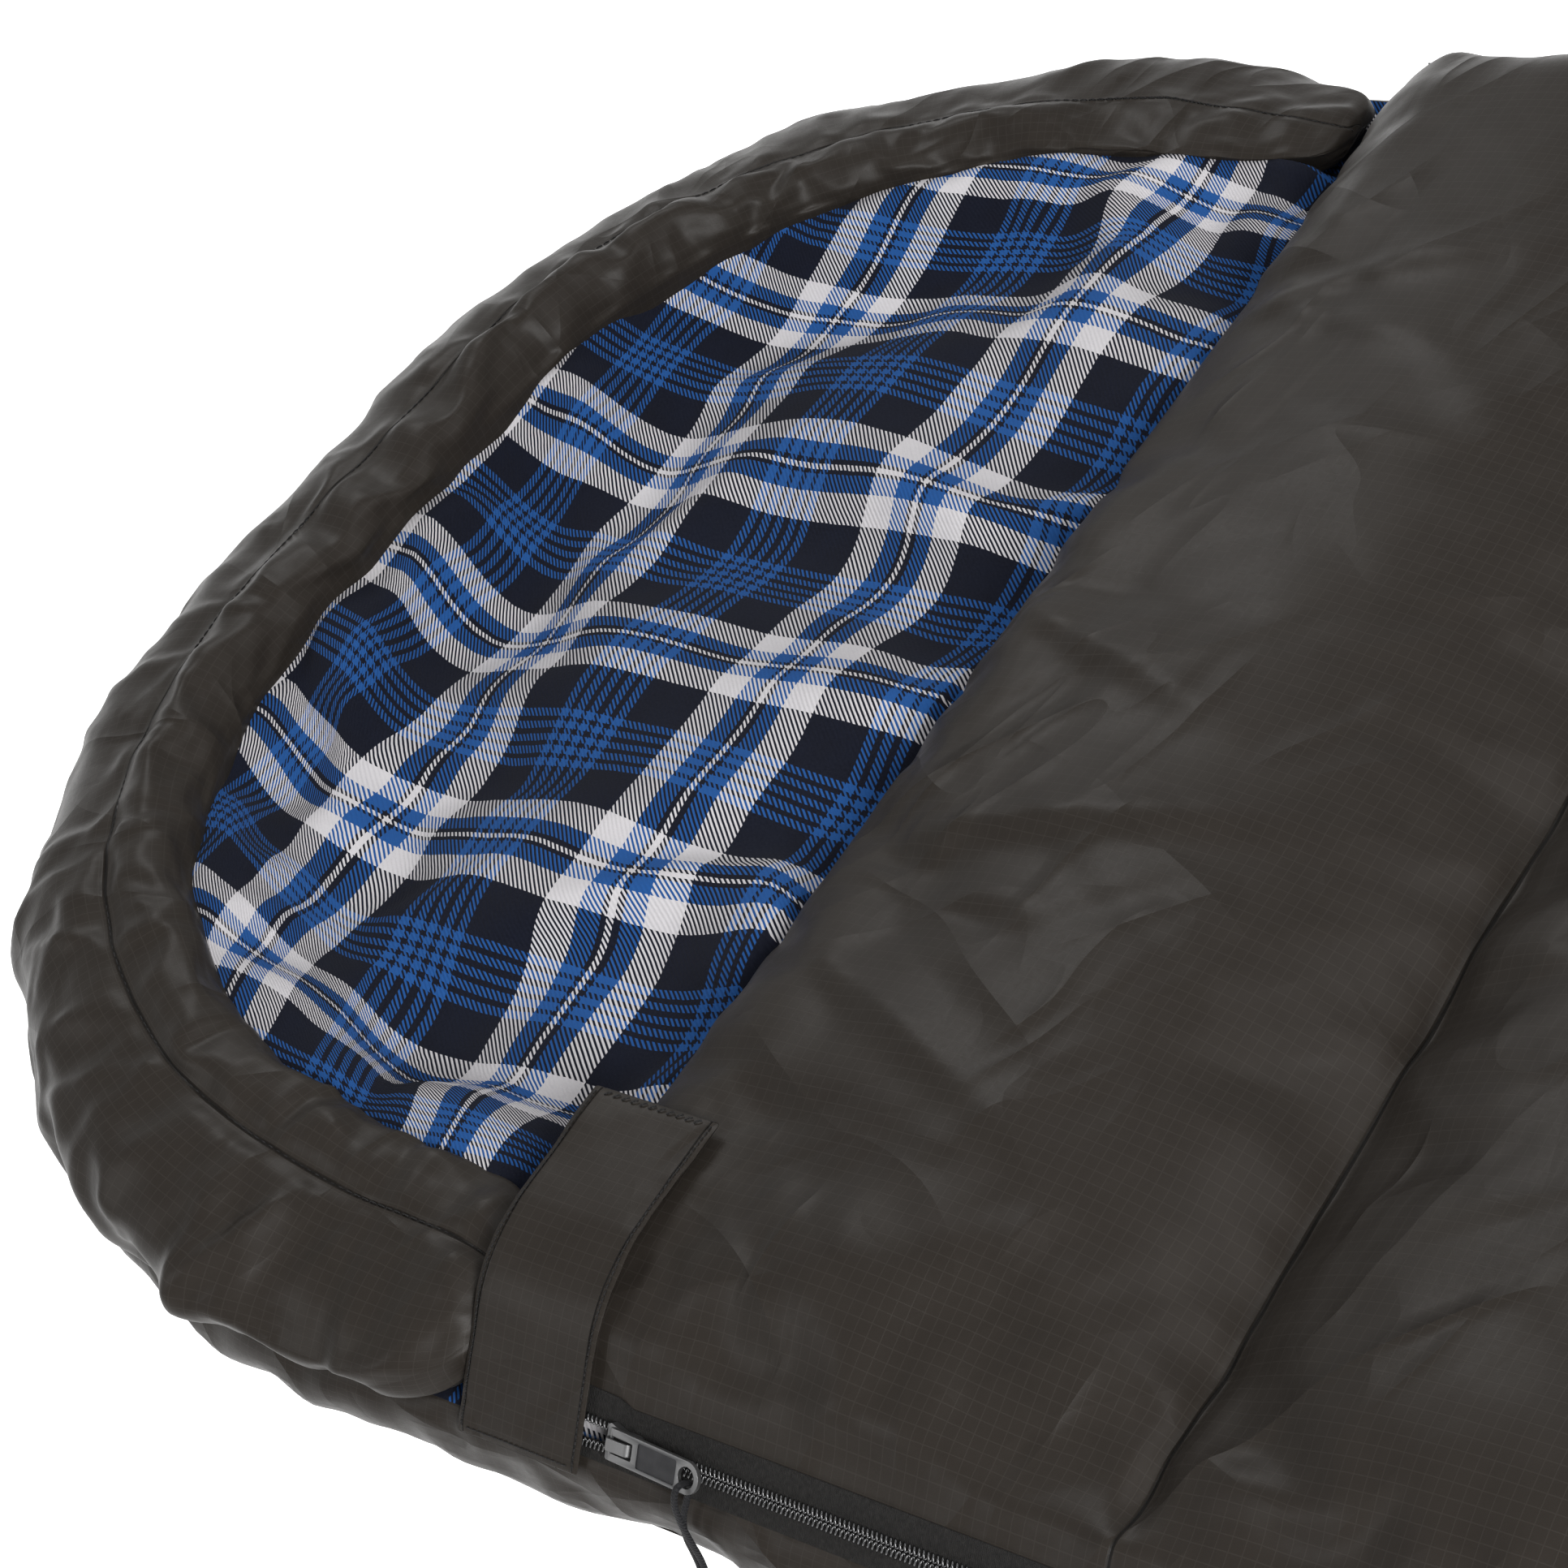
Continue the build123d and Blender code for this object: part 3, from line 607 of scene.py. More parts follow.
def patch_material():
    """Black hook-and-loop tape: a dense field of small hooks."""
    g = new_graph("hook_and_loop")
    place = g.coordinate("Object")
    cells = g.add("ShaderNodeTexVoronoi", Vector=place, Scale=1100.0).outputs["Distance"]
    tone = g.mix(cells, (0.004, 0.004, 0.004, 1), (0.04, 0.04, 0.04, 1))
    return g.finish(tone, g.bump(cells, 0.6 * MM, 1.0), Roughness=0.85)


def wadding_material():
    """White hollow-fibre wadding."""
    g = new_graph("wadding")
    place = g.coordinate("Object")
    fibre = g.noise(place, 300.0, 5.0, 2.0)
    tone = g.mix(fibre, (0.62, 0.61, 0.58, 1), (0.85, 0.84, 0.82, 1))
    return g.finish(tone, g.bump(fibre, 1.5 * MM, 0.7), Roughness=0.95, Sheen_Weight=0.3)


SHELL = shell_material()
# the quilting lines get stripes of painted shade in this material's colour
QUILTED = shell_material("shell_satin_quilted", "UV", (0, MOUTH_X, (CHAIN_X - MOUTH_X) / CHANNELS))
SHELL_CAD = shell_material("shell_satin_solid", "Object")
FLANNEL = flannel_material()
TAPE = tape_material()
COIL = coil_material()
METAL = metal_material()
CORD = cord_material()
THREAD = cord_material("seam_thread", (0.010, 0.009, 0.008, 1))
PATCH = patch_material()
WADDING = wadding_material()


def finish_cad_nodes():
    """Gives every node that stays in view its finish."""
    finishes = {
        "base_zip_tape": TAPE, "top_zip_tape": TAPE,
        "base_zip_stop": METAL, "top_zip_stop": METAL, "zip_bottom_stop": METAL,
        "slider_body": METAL, "pull_tab": METAL,
        "loop_patch": PATCH, "hook_patch": PATCH,
        "base_zip_coil": COIL, "top_zip_coil": COIL,
        "pull_cord_front": CORD, "pull_cord_back": CORD, "pull_cord_knot": CORD,
        "hood_drawcord": CORD,
        "base_fill": WADDING, "top_fill": WADDING, "hood_fill": WADDING,
        "base_lining": FLANNEL, "top_lining": FLANNEL, "hood_lining": FLANNEL,
    }
    for name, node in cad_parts.items():
        node.data.materials.clear()
        node.data.materials.append(finishes.get(name, SHELL_CAD))


# ------------------------------------------------------------------ lower quilt


def route_distance(x, y, route, along):
    """Distance from each point in plan to a route, and the place along it that is nearest."""
    dx = x[:, None] - route[None, :, 0]
    dy = y[:, None] - route[None, :, 1]
    gap = dx * dx + dy * dy
    nearest = np.argmin(gap, axis=1)
    return np.sqrt(gap[np.arange(len(x)), nearest]), along[nearest]


def flannel_form(X, Y, edge):
    """Height of the flannel, its distance from the rim's route, its climb and the hood's part.

    The flannel lies in soft folds, and climbs to the inner edge of the rim inside the hood.
    """
    hood = 1 - smooth(MOUTH_X - 20 * MM, MOUTH_X + 50 * MM, X)
    bend = noise(X / 0.19, Y / 0.23, 3) * 0.05
    folds = (
        crease((X + Y * 0.55 + bend) / 0.085, (Y - X * 0.6) / 0.26, 11) * 16 * MM
        + crease((X * 0.4 - Y + bend) / 0.10, (X + Y * 0.4) / 0.24, 12) * 14 * MM
        + noise(X / 0.05, Y / 0.05, 13) * 2.5 * MM
    )
    route, _ = rim_route(5 * MM)
    along = route_length(route)
    inner, place = np.full(X.shape, 1.0), np.zeros(X.shape)
    inside = X < MOUTH_X + 10 * MM
    inner[inside], place[inside] = route_distance(X[inside], Y[inside], route, along)
    level = rim_level(place, along[-1])
    hang = 1 - smooth(88 * MM, 150 * MM, inner + noise(place / 0.05, inner / 0.3, 14) * 9 * MM)
    wall = hang**1.25 * smooth(66 * MM, 78 * MM, inner) * level
    wall *= 1 - smooth(MOUTH_X - 30 * MM, MOUTH_X - 4 * MM, X)
    pleat = (crease(place / 0.05, inner / 0.16, 15) - 0.4) * 11 * MM
    pleat *= np.sin(pi * np.clip(hang, 0, 1))
    folds = folds * np.where(inside, smooth(88 * MM, 135 * MM, inner), 1)
    pleat = pleat * smooth(90 * MM, 116 * MM, inner)
    top_z = BASE_LOFT + folds * (0.2 + 0.8 * hood) * smooth(0, 40 * MM, edge)
    top_z = top_z + wall * (RIM_HEIGHT - BASE_LOFT - 29 * MM) + pleat * hood
    under_rim = (inner < 66 * MM) & inside
    top_z = np.where(under_rim, BASE_LOFT - 1 * MM, top_z)
    return top_z, inner, hang * hood, hood


def band_loops(ring):
    """Loops of the shell band, in plan and height, from the zip's side down to the floor."""
    out = loop_normals(ring)
    travel = route_length(ring)
    band = []
    section = [
        (1.6, 40.2), (4.6, 38.0), (7.2, 34.6), (8.8, 30.2), (9.6, 25.4), (9.8, 20.0),
        (9.2, 14.5), (7.4, 9.2), (4.6, 5.0), (1.6, 2.4),
    ]
    for row, (reach, height) in enumerate(section):
        loose = smooth(0, 4, min(row, 6))
        fold = crease((travel + row * 0.004) / 0.052, np.full_like(travel, row * 0.11), 21)
        sweep = noise((travel - row * 0.006) / 0.10, np.full_like(travel, row * 0.07), 24)
        ripple = noise(travel / 0.016, np.full_like(travel, row * 0.3), 22)
        push = (reach + ((fold - 0.45) * 3.6 + sweep * 2.2 + ripple * 0.3) * loose) * MM
        lift = noise(travel / 0.06, np.full_like(travel, row * 0.4), 23) * 1.2 * MM * loose
        z = np.maximum(height * MM + lift, 0.6 * MM)
        band.append(np.column_stack([ring + out * push[:, None], z]))
    return band


def lower_quilt():
    """Shell band and underside of the lower quilt, with the flannel that the sleeper lies on."""
    inset = 9 * MM
    step = 6 * MM
    low_x, high_x = HEAD_X + inset, FOOT_X - inset
    low_y, high_y = NEAR_Y + inset, FAR_Y - inset
    radii = (NEAR_FOOT_RADIUS - inset, FAR_FOOT_RADIUS - inset, HOOD_RADIUS - inset)
    x = plan_columns(low_x, high_x, radii[2], radii[0], step)
    near, far = side_span(x, low_x, high_x, low_y, high_y, radii)
    t = np.linspace(0, 1, 134)
    X = np.repeat(x[:, None], len(t), 1)
    Y = near[:, None] + (far - near)[:, None] * t
    edge = np.minimum(X - low_x, high_x - X)
    edge = np.minimum(edge, np.minimum(Y - near[:, None], far[:, None] - Y))
    top_z, inner, climb, hood = flannel_form(X, Y, edge)
    settle = smooth(0, 30 * MM, edge)
    under = (1 - settle) ** 2 * 3 * MM
    pitch = (CHAIN_X - MOUTH_X) / CHANNELS
    seam = np.abs(((X - MOUTH_X) / pitch + 0.5) % 1 - 0.5) * pitch
    under = under + 5 * MM * np.exp(-((seam / 0.010) ** 2)) * settle
    top = np.dstack([X, Y, top_z])
    bottom = np.dstack([X, Y, under + FLOOR_GAP])
    bowl = int(np.searchsorted(x, MOUTH_X + 60 * MM))
    held = np.zeros((bowl, len(t)))
    held[(inner[:bowl] < 84 * MM) | (edge[:bowl] < 14 * MM)] = 1.0
    held[X[:bowl] > MOUTH_X + 20 * MM] = 1.0
    top[:bowl] = inflate(
        top[:bowl], held, 1.0, 0.09, 13 * MM, 2.0, passes=2, floor=BASE_LOFT - 2 * MM
    )
    ceiling = np.where(X[:bowl] > MOUTH_X - 6 * MM, QUILT_FLOOR - 2.5 * MM, np.inf)
    top[:bowl, :, 2] = np.minimum(top[:bowl, :, 2], ceiling)
    loop = border_loop(*X.shape)
    ring = np.column_stack([X.reshape(-1)[loop], Y.reshape(-1)[loop]])
    band = band_loops(ring)
    rims = [grid.reshape(-1, 3)[loop][None] for grid in (top, bottom)]
    rings = np.concatenate([rims[0], band, rims[1]])
    rings[0, :, 2] = LIP_HEIGHT
    fixed = np.zeros(rings.shape[:2])
    fixed[:2], fixed[-2:] = 1.0, 1.0
    blown = inflate(
        rings, fixed, 1.5, 0.06, 7 * MM, 2.0, passes=2, floor=FLOOR_GAP, wrap=True
    )
    under_zip = (blown[..., 0] > MOUTH_X - 14 * MM) & (blown[..., 2] > 27 * MM)
    blown = np.where(under_zip[..., None], rings, blown)
    band = fit_outline(blown[1:-1])
    # the pull cord passes here, so the band stays flatter beside the zip
    past = NEAR_Y - 0.4 * MM - band[..., 1]
    beside = (band[..., 0] > MOUTH_X + 40 * MM) & (past > 0)
    flat = NEAR_Y - 0.4 * MM - 0.8 * MM * np.tanh(past / (0.8 * MM))
    band[..., 1] = np.where(beside, flat, band[..., 1])
    top.reshape(-1, 3)[loop] = rings[0]
    middle = np.array([(RIM_FAR_END + MOUTH_X) / 2, (NEAR_Y + FAR_Y) / 2])
    away = np.dstack([X, Y]) - middle
    away /= np.linalg.norm(away, axis=2)[..., None] + 1e-9
    uv = np.dstack([X, Y]) + away * (climb * 0.035)[..., None]
    sway = np.dstack([noise(X / 0.13, Y / 0.11, 16), noise(X / 0.12, Y / 0.14, 17)])
    uv = uv + sway * 5 * MM * hood[..., None]
    top, bottom = fit_outline(top), fit_outline(bottom)
    made = pad_mesh("lower_quilt_cloth", top, bottom, band, uv, [FLANNEL, SHELL, SHELL])
    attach(made, "base")
    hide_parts("base_shell", "base_fill", "base_lining")
    return made


# --------------------------------------------------------------------- hood rim


def rim_route(step):
    """Plan points and outward directions along the hood's edge, from the fold side round."""
    corner_x = HEAD_X + HOOD_RADIUS
    far_y, near_y, end_x = FAR_Y - HOOD_RADIUS, NEAR_Y + HOOD_RADIUS, MOUTH_X - 7 * MM

    def spaced(start, end, count, whole=False):
        return np.linspace(start, end, int(count), endpoint=whole)

    turns = HOOD_RADIUS * pi / 2 / step
    far = spaced(RIM_FAR_END, corner_x, (RIM_FAR_END - corner_x) / step + 1)
    head = spaced(far_y, near_y, (far_y - near_y) / step)
    near = spaced(corner_x, end_x, (end_x - corner_x) / step, whole=True)
    route = np.concatenate([
        stretch(far, FAR_Y, 0, 1),
        arc(corner_x, far_y, HOOD_RADIUS, spaced(pi / 2, pi, turns)),
        stretch(HEAD_X, head, -1, 0),
        arc(corner_x, near_y, HOOD_RADIUS, spaced(pi, 1.5 * pi, turns)),
        stretch(near, NEAR_Y, 0, -1),
    ])
    return route[:, :2], route[:, 2:]


def rim_level(place, total):
    """How high the rim stands along the hood: it runs out towards both of its ends."""
    far = 0.40 + 0.60 * smooth(-100 * MM, 600 * MM, place)
    near = 0.52 + 0.48 * smooth(0, 360 * MM, total - place)
    return np.minimum(far, near)


def catmull(points, per_span):
    """A smooth closed line through the given section points."""
    points = np.asarray(points, float)
    out = []
    count = len(points)
    for i in range(count):
        p0, p1, p2, p3 = (points[(i + k - 1) % count] for k in range(4))
        for t in np.arange(per_span) / per_span:
            out.append(
                0.5 * (2 * p1 + (p2 - p0) * t + (2 * p0 - 5 * p1 + 4 * p2 - p3) * t**2
                       + (3 * p1 - p0 - 3 * p2 + p3) * t**3)
            )
    return np.array(out)


def rim_folds(length, seam_at):
    """Folds across the rim, in the rim's own cloth coordinates, for tension_folds."""
    rng = np.random.default_rng(7)
    folds = []
    near_end = ((0.028, -1.1, 7.0), (0.062, -1.5, 6.5), (0.105, -2.0, 7.5), (0.15, -1.35, 7.0))
    for back, turn, rise in near_end:
        folds.append((length - back, seam_at - 1 * MM, turn, 0.12, 13 * MM, rise * MM))
        folds.append((length - back, seam_at + 1 * MM, -turn, 0.05, 8 * MM, 0.5 * rise * MM))
    for place in np.arange(0.06, length - 0.05, 0.030):
        start = place + rng.uniform(-0.012, 0.012)
        turn = -pi / 2 + rng.uniform(-0.7, 0.7)
        reach, width = rng.uniform(0.04, 0.12), rng.uniform(6, 13) * MM
        folds.append((start, seam_at - 1 * MM, turn, reach, width, rng.uniform(1.4, 4.2) * MM))
        turn = pi / 2 + rng.uniform(-0.6, 0.6)
        reach, width = rng.uniform(0.02, 0.05), rng.uniform(4, 7) * MM
        rise = rng.uniform(0.8, 2.2) * MM
        folds.append((start + 0.011, seam_at + 1 * MM, turn, reach, width, rise))
        turn = pi / 2 + rng.uniform(-0.8, 0.8)
        reach, width = rng.uniform(0.04, 0.10), rng.uniform(6, 12) * MM
        folds.append((start + 0.02, 26 * MM, turn, reach, width, rng.uniform(1.2, 3.6) * MM))
    return folds


def hood_rim():
    """The padded, gathered rim of the hood, with the drawcord tunnel along its inner edge."""
    step = 5 * MM
    route, out = rim_route(step)
    section = catmull(
        [(7, 42.5), (1.5, 54), (2.0, 73), (9, 91), (22, 103), (39, 109), (SEAM_IN / MM, 110),
         (72, 112), (84, 108.5), (91, 100), (90, 89), (87, 74), (83, 57), (80, 43), (45, 42)],
        5,
    ) * MM
    across = route_length(section)
    seam_column, edge_column = 30, 45
    seam_at, edge_at = across[seam_column], across[edge_column]
    ahead = np.roll(section, -1, axis=0) - np.roll(section, 1, axis=0)
    ahead /= np.linalg.norm(ahead, axis=1)[:, None]
    skin = np.stack([-ahead[:, 1], ahead[:, 0]], axis=1)
    along = route_length(route)
    L, A = np.meshgrid(along, across, indexing="ij")
    from_seam = np.abs(A - seam_at)
    shell_part = smooth(0, 40 * MM, A) * (1 - smooth(edge_at, edge_at + 20 * MM, A))
    outer = 1 - smooth(seam_at - 12 * MM, seam_at, A)
    slant = L + (A - seam_at) * 0.6
    sweep = noise(L / 0.31, A / 0.4, 36)
    puff = (
        (crease((slant + sweep * 0.02) / 0.12, A / 0.16, 31) - 0.35) * 4.5
        + (crease((L - A * 0.8) / 0.07, A / 0.09, 32) - 0.4) * 2.2
    ) * outer
    tunnel = (crease((L + A * 0.5) / 0.06, A / 0.07, 34) - 0.4) * 2.0 * (1 - outer)
    gather = noise(L / 0.024, A / 0.06, 33) * np.exp(-from_seam / 0.014) * 1.0
    push = (puff + gather + tunnel) * shell_part * MM
    ends = np.minimum(L / 0.11, (along[-1] - L) / 0.045)
    round_end = np.sqrt(np.clip(1 - (1 - np.clip(ends, 0, 1)) ** 2, 0, 1))
    centre = np.array([46 * MM, 70 * MM])
    profile = section[None] + skin[None] * push[..., None]
    profile = centre + (profile - centre) * (0.35 + 0.65 * round_end)[..., None]
    foot = 42 * MM
    profile[..., 1] = foot + (profile[..., 1] - foot) * rim_level(L, along[-1])
    profile[..., 1] = np.maximum(profile[..., 1], foot)
    points = np.empty(profile.shape[:2] + (3,))
    points[..., :2] = route[:, None] - out[:, None] * profile[..., :1]
    points[..., 2] = profile[..., 1]
    uv = np.stack([L, A], axis=2)
    rows, columns = points.shape[:2]
    faces = grid_faces(rows, columns, wrap_columns=True)
    corner_uv = list(uv.reshape(-1, 2)[faces])
    faces = [list(face) for face in faces]
    for ring in (list(range(columns)), list(range((rows - 1) * columns, rows * columns))[::-1]):
        faces.append(ring)
        corner_uv.append(uv.reshape(-1, 2)[ring])
    held = np.zeros((rows, columns))
    held[:, seam_column] = 1.0
    held[:, edge_column + 4 :] = 1.0
    held[:, :2] = 1.0
    beside_seam = slice(seam_column - 15, seam_column)
    held[:, beside_seam] = np.maximum(held[:, beside_seam], 0.02)
    held[0], held[-1] = 1.0, 1.0
    final = inflate(
        points, held, 2.0, 0.06, 8 * MM, 0.8, passes=1, floor=foot, faces=faces, wrap=True
    )
    normal = np.dstack([-out[:, None] * skin[None, :, :1], np.repeat(skin[None, :, 1:], rows, 0)])
    calm = 0.5 + 0.5 * smooth(0.35, 0.65, L / along[-1])
    tucks = tension_folds(L, A, rim_folds(along[-1], seam_at)) * shell_part * calm
    final += normal * (tucks * smooth(2 * MM, 7 * MM, from_seam) * round_end)[..., None]
    final = fit_outline(final)
    final[..., 2] -= np.exp(-((from_seam / 0.0040) ** 2)) * 2.6 * MM
    # the hood seam gets a stripe of painted shade in this material's colour
    rim_shell = shell_material("shell_satin_rim", "UV", (1, seam_at, 2.0))
    made = make_object(
        "hood_rim_cloth", final.reshape(-1, 3), faces, np.concatenate(corner_uv), [rim_shell]
    )
    stitch_row("hood_seam_stitches", final[:, seam_column], 4.2 * MM, "base")
    soften(made)
    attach(made, "base")
    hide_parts("hood_shell", "hood_fill", "hood_lining", "hood_channel", "hood_drawcord")
    return made


# -------------------------------------------------------------------- top quilt


def quilt_folds(pitch):
    """Folds that start at the mouth and at the sewn lines, for tension_folds."""
    rng = np.random.default_rng(12)
    folds = [
        (MOUTH_X + 4 * MM, 0.005, -0.35, 0.17, 16 * MM, 6.0 * MM),
        (MOUTH_X + 4 * MM, 0.012, -0.02, 0.13, 14 * MM, -4.5 * MM),
        (MOUTH_X + 3 * MM, -0.135, 0.28, 0.24, 18 * MM, 6.5 * MM),
        (MOUTH_X + 3 * MM, -0.140, -0.10, 0.15, 13 * MM, 5.0 * MM),
        (MOUTH_X + 10 * MM, -0.175, -0.42, 0.21, 15 * MM, 5.0 * MM),
        (MOUTH_X + 3 * MM, 0.19, 0.30, 0.18, 16 * MM, 5.0 * MM),
        (MOUTH_X + 3 * MM, 0.20, -0.25, 0.15, 16 * MM, 4.5 * MM),
    ]
    for number in range(CHANNELS + 1):
        seam_x = MOUTH_X + number * pitch
        for y in np.arange(NEAR_Y + 0.07, FAR_Y - 0.04, 0.075):
            for way in (1, -1):
                if (number == 0 and (way < 0 or y < 0.26)) or (number == CHANNELS and way > 0):
                    continue
                turn = rng.uniform(-0.75, 0.75) + (0 if way > 0 else pi)
                length = rng.uniform(0.05, 0.14)
                rise = rng.uniform(1.6, 4.2) * rng.choice([1, 1, -0.7]) * MM
                start = y + rng.uniform(-0.03, 0.03)
                folds.append((seam_x, start, turn, length, rng.uniform(7, 15) * MM, rise))
    for x in np.arange(MOUTH_X + 0.11, FOOT_X - 0.1, 0.031):
        turn = pi / 2 + rng.uniform(-0.5, 0.5)
        start_y = NEAR_Y + 31 * MM + rng.uniform(0, 6) * MM
        length = rng.uniform(0.025, 0.065)
        width, rise = rng.uniform(4, 7) * MM, rng.uniform(1.2, 2.6) * MM
        folds.append((x, start_y, turn, length, width, rise))
    return folds


def top_quilt():
    """The quilted cover: shell above, flannel below, in sewn channels across the bag."""
    step = 6 * MM
    low_x, high_x = MOUTH_X, quilt_high.x
    low_y, high_y = quilt_low.y, quilt_high.y
    radii = (62 * MM, 30 * MM, 26 * MM)
    x = plan_columns(low_x, high_x, radii[2], radii[0], step)
    pitch = (CHAIN_X - MOUTH_X) / CHANNELS
    seams = []
    for number in range(1, CHANNELS):
        row = int(np.argmin(np.abs(x - (MOUTH_X + number * pitch))))
        x[row] = MOUTH_X + number * pitch
        seams.append(row)
    near, far = side_span(x, low_x, high_x, low_y, high_y, radii)
    t = np.linspace(0, 1, 130)
    X = np.repeat(x[:, None], len(t), 1)
    Y = near[:, None] + (far - near)[:, None] * t
    e_near, e_far = Y - low_y, high_y - Y
    e_mouth, e_foot = X - low_x, high_x - X
    turn = radii[0]
    in_corner = (e_near < turn) & (e_foot < turn)
    e_zip = np.where(in_corner, turn - np.hypot(turn - e_near, turn - e_foot),
                     np.minimum(e_near, e_foot))
    e_zip = np.maximum(e_zip, 0)
    phase = (X - MOUTH_X) / pitch
    share = phase - np.floor(phase)
    first, last = phase < 0.5, phase > CHANNELS - 0.5
    arch = np.sin(pi * np.clip(share, 0, 1)) ** 0.7
    arch = np.where(first | last, np.maximum(arch, 0.78), arch)
    crown = 64 * MM + (QUILT_CROWN - 2 * MM - 64 * MM) * arch
    seam_distance = np.where(first | last, 1.0, np.minimum(share, 1 - share) * pitch)

    def rise(edge, reach, power):
        return (1 - (1 - np.clip(edge / reach, 0, 1)) ** 2) ** power

    tape = 12.5 * MM
    side = np.where(
        e_zip < tape, e_zip, tape + (crown - QUILT_FLOOR - tape) * rise(e_zip - tape, 76 * MM, 0.62)
    )
    lift = rise(e_mouth, 34 * MM, 0.5) * rise(e_far, 60 * MM, 0.5)
    roll = np.exp(-e_mouth / 0.02) * smooth(0, 40 * MM, e_near) * smooth(0, 40 * MM, e_far)
    start_z = QUILT_FLOOR + 11 * MM * roll
    pucker = noise(Y / 0.017, X / 0.06, 41) * np.exp(-seam_distance / 0.03) * 1.4
    pucker += (crease(Y / 0.045, X / 0.12, 42) - 0.4) * np.exp(-seam_distance / 0.06) * 3.0
    zip_gather = noise(X / 0.012, Y / 0.05, 43) * np.exp(-e_zip / 0.03) * 1.2
    zip_gather += (crease(X / 0.032, Y / 0.08, 44) - 0.4) * np.exp(-e_zip / 0.045) * 2.2
    broad = noise(X / 0.13, Y / 0.17, 45) * 3.0 + (crease(X / 0.19, Y / 0.15, 46) - 0.5) * 3.0
    mouth_roll = (crease(Y / 0.065, X / 0.08, 47) - 0.4) * np.exp(-e_mouth / 0.04) * 2.4
    loose = smooth(tape, tape + 14 * MM, e_zip) * smooth(0, 14 * MM, np.minimum(e_mouth, e_far))
    top_z = start_z + (QUILT_FLOOR + side - start_z) * lift
    top_z += (pucker + zip_gather + broad + mouth_roll) * MM * loose
    top_z = np.maximum(top_z, QUILT_FLOOR + 1.2 * MM)
    inner = np.minimum(np.minimum(e_near, e_far), np.minimum(e_mouth, e_foot))
    low_z = QUILT_FLOOR + (start_z - QUILT_FLOOR) * np.exp(-np.maximum(inner, 0) / 0.01)
    low_z = low_z + (noise(X / 0.07, Y / 0.07, 48) + 1) * 0.8 * MM * smooth(0, 20 * MM, inner)
    rows, columns = X.shape
    loop = border_loop(rows, columns)
    border = np.zeros(rows * columns, bool)
    border[loop] = True
    border = border.reshape(rows, columns)
    top_z = np.where(border, start_z + 0.6 * MM, top_z)
    low_z = np.where(border, start_z - 0.2 * MM, np.minimum(low_z, top_z - 0.8 * MM))
    top = np.dstack([X, Y, top_z])
    bottom = np.dstack([X, Y, np.maximum(low_z, QUILT_FLOOR - 0.5 * MM)])
    held = np.zeros((rows, columns))
    held[e_zip < tape + 1 * MM] = 1.0
    held[:, -2:] = 1.0
    held[seams] = 1.0
    held[:2] = np.maximum(held[:2], 0.25)
    flap_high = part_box("closure_flap")[1]
    past = np.maximum(X - flap_high.x, Y - flap_high.y)
    under_flap = 1 - smooth(0, 26 * MM, past)
    held = np.maximum(held, under_flap)
    under_tab = np.minimum(top[..., 2], flap_high.z - 3.4 * MM)
    top[..., 2] = np.where(under_flap > 0.99, under_tab, top[..., 2])
    upper = inflate(
        top, held, 2.4, 0.05, 9 * MM, 0.5, passes=1, floor=QUILT_FLOOR + 0.3 * MM
    )
    upper[..., 2] += tension_folds(X, Y, quilt_folds(pitch)) * loose * (1 - under_flap)
    groove = np.exp(-((seam_distance / 0.0036) ** 2)) * 3.5 * MM * loose
    upper[..., 2] -= groove
    upper[..., 2] = np.maximum(upper[..., 2], bottom[..., 2] + 0.4 * MM)
    bottom.reshape(-1, 3)[loop, :2] = upper.reshape(-1, 3)[loop, :2]
    made = pad_mesh(
        "top_quilt_cloth", upper, bottom, [], np.dstack([X, Y]), [QUILTED, SHELL, FLANNEL]
    )
    for number, row in enumerate(seams):
        name = f"quilting_stitches_{number + 1}"
        stitch_row(name, upper[row, 4:-3], 4.4 * MM, "top_quilt")
    soften(made)
    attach(made, "top_quilt")
    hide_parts("top_shell", "top_fill", "top_lining")
    return made


# ------------------------------------------------------------ stitches and flap


def resample(line, step):
    """Evenly spaced points along a line, with the direction at each."""
    line = np.asarray(line, float)
    travel = route_length(line)
    places = np.arange(step / 2, travel[-1], step)
    points = np.stack([np.interp(places, travel, line[:, k]) for k in range(3)], axis=1)
    ahead = np.gradient(points, axis=0)
    ahead /= np.linalg.norm(ahead, axis=1)[:, None] + 1e-12
    return points, ahead


def tubes(name, paths, radius, sides, material, closed_ends=True):
    """Round threads along many short paths of equal point count, as one object."""
    paths = np.asarray(paths, float)
    count, length = paths.shape[:2]
    ahead = np.gradient(paths, axis=1)
    ahead /= np.linalg.norm(ahead, axis=2)[..., None] + 1e-12
    up = np.zeros_like(ahead)
    up[..., 2] = 1
    steep = np.abs(ahead[..., 2]) > 0.9
    up[steep] = (0, 1, 0)
    side = np.cross(ahead, up)
    side /= np.linalg.norm(side, axis=2)[..., None] + 1e-12
    up = np.cross(side, ahead)
    angle = np.linspace(0, 2 * pi, sides, endpoint=False)
    radii = np.broadcast_to(np.asarray(radius, float), (count, length))
    ring = (
        side[:, :, None] * np.cos(angle)[None, None, :, None]
        + up[:, :, None] * np.sin(angle)[None, None, :, None]
    )
    points = paths[:, :, None] + ring * radii[:, :, None, None]
    each = grid_faces(length, sides, wrap_columns=True)
    starts = (np.arange(count) * length * sides)[:, None, None]
    faces = [tuple(face) for face in (each[None] + starts).reshape(-1, 4)]
    if closed_ends:
        first = np.arange(sides)[::-1]
        last = (length - 1) * sides + np.arange(sides)
        for start in range(count):
            faces.append(tuple(first + start * length * sides))
            faces.append(tuple(last + start * length * sides))
    return make_object(name, points.reshape(-1, 3), faces, materials=[material])


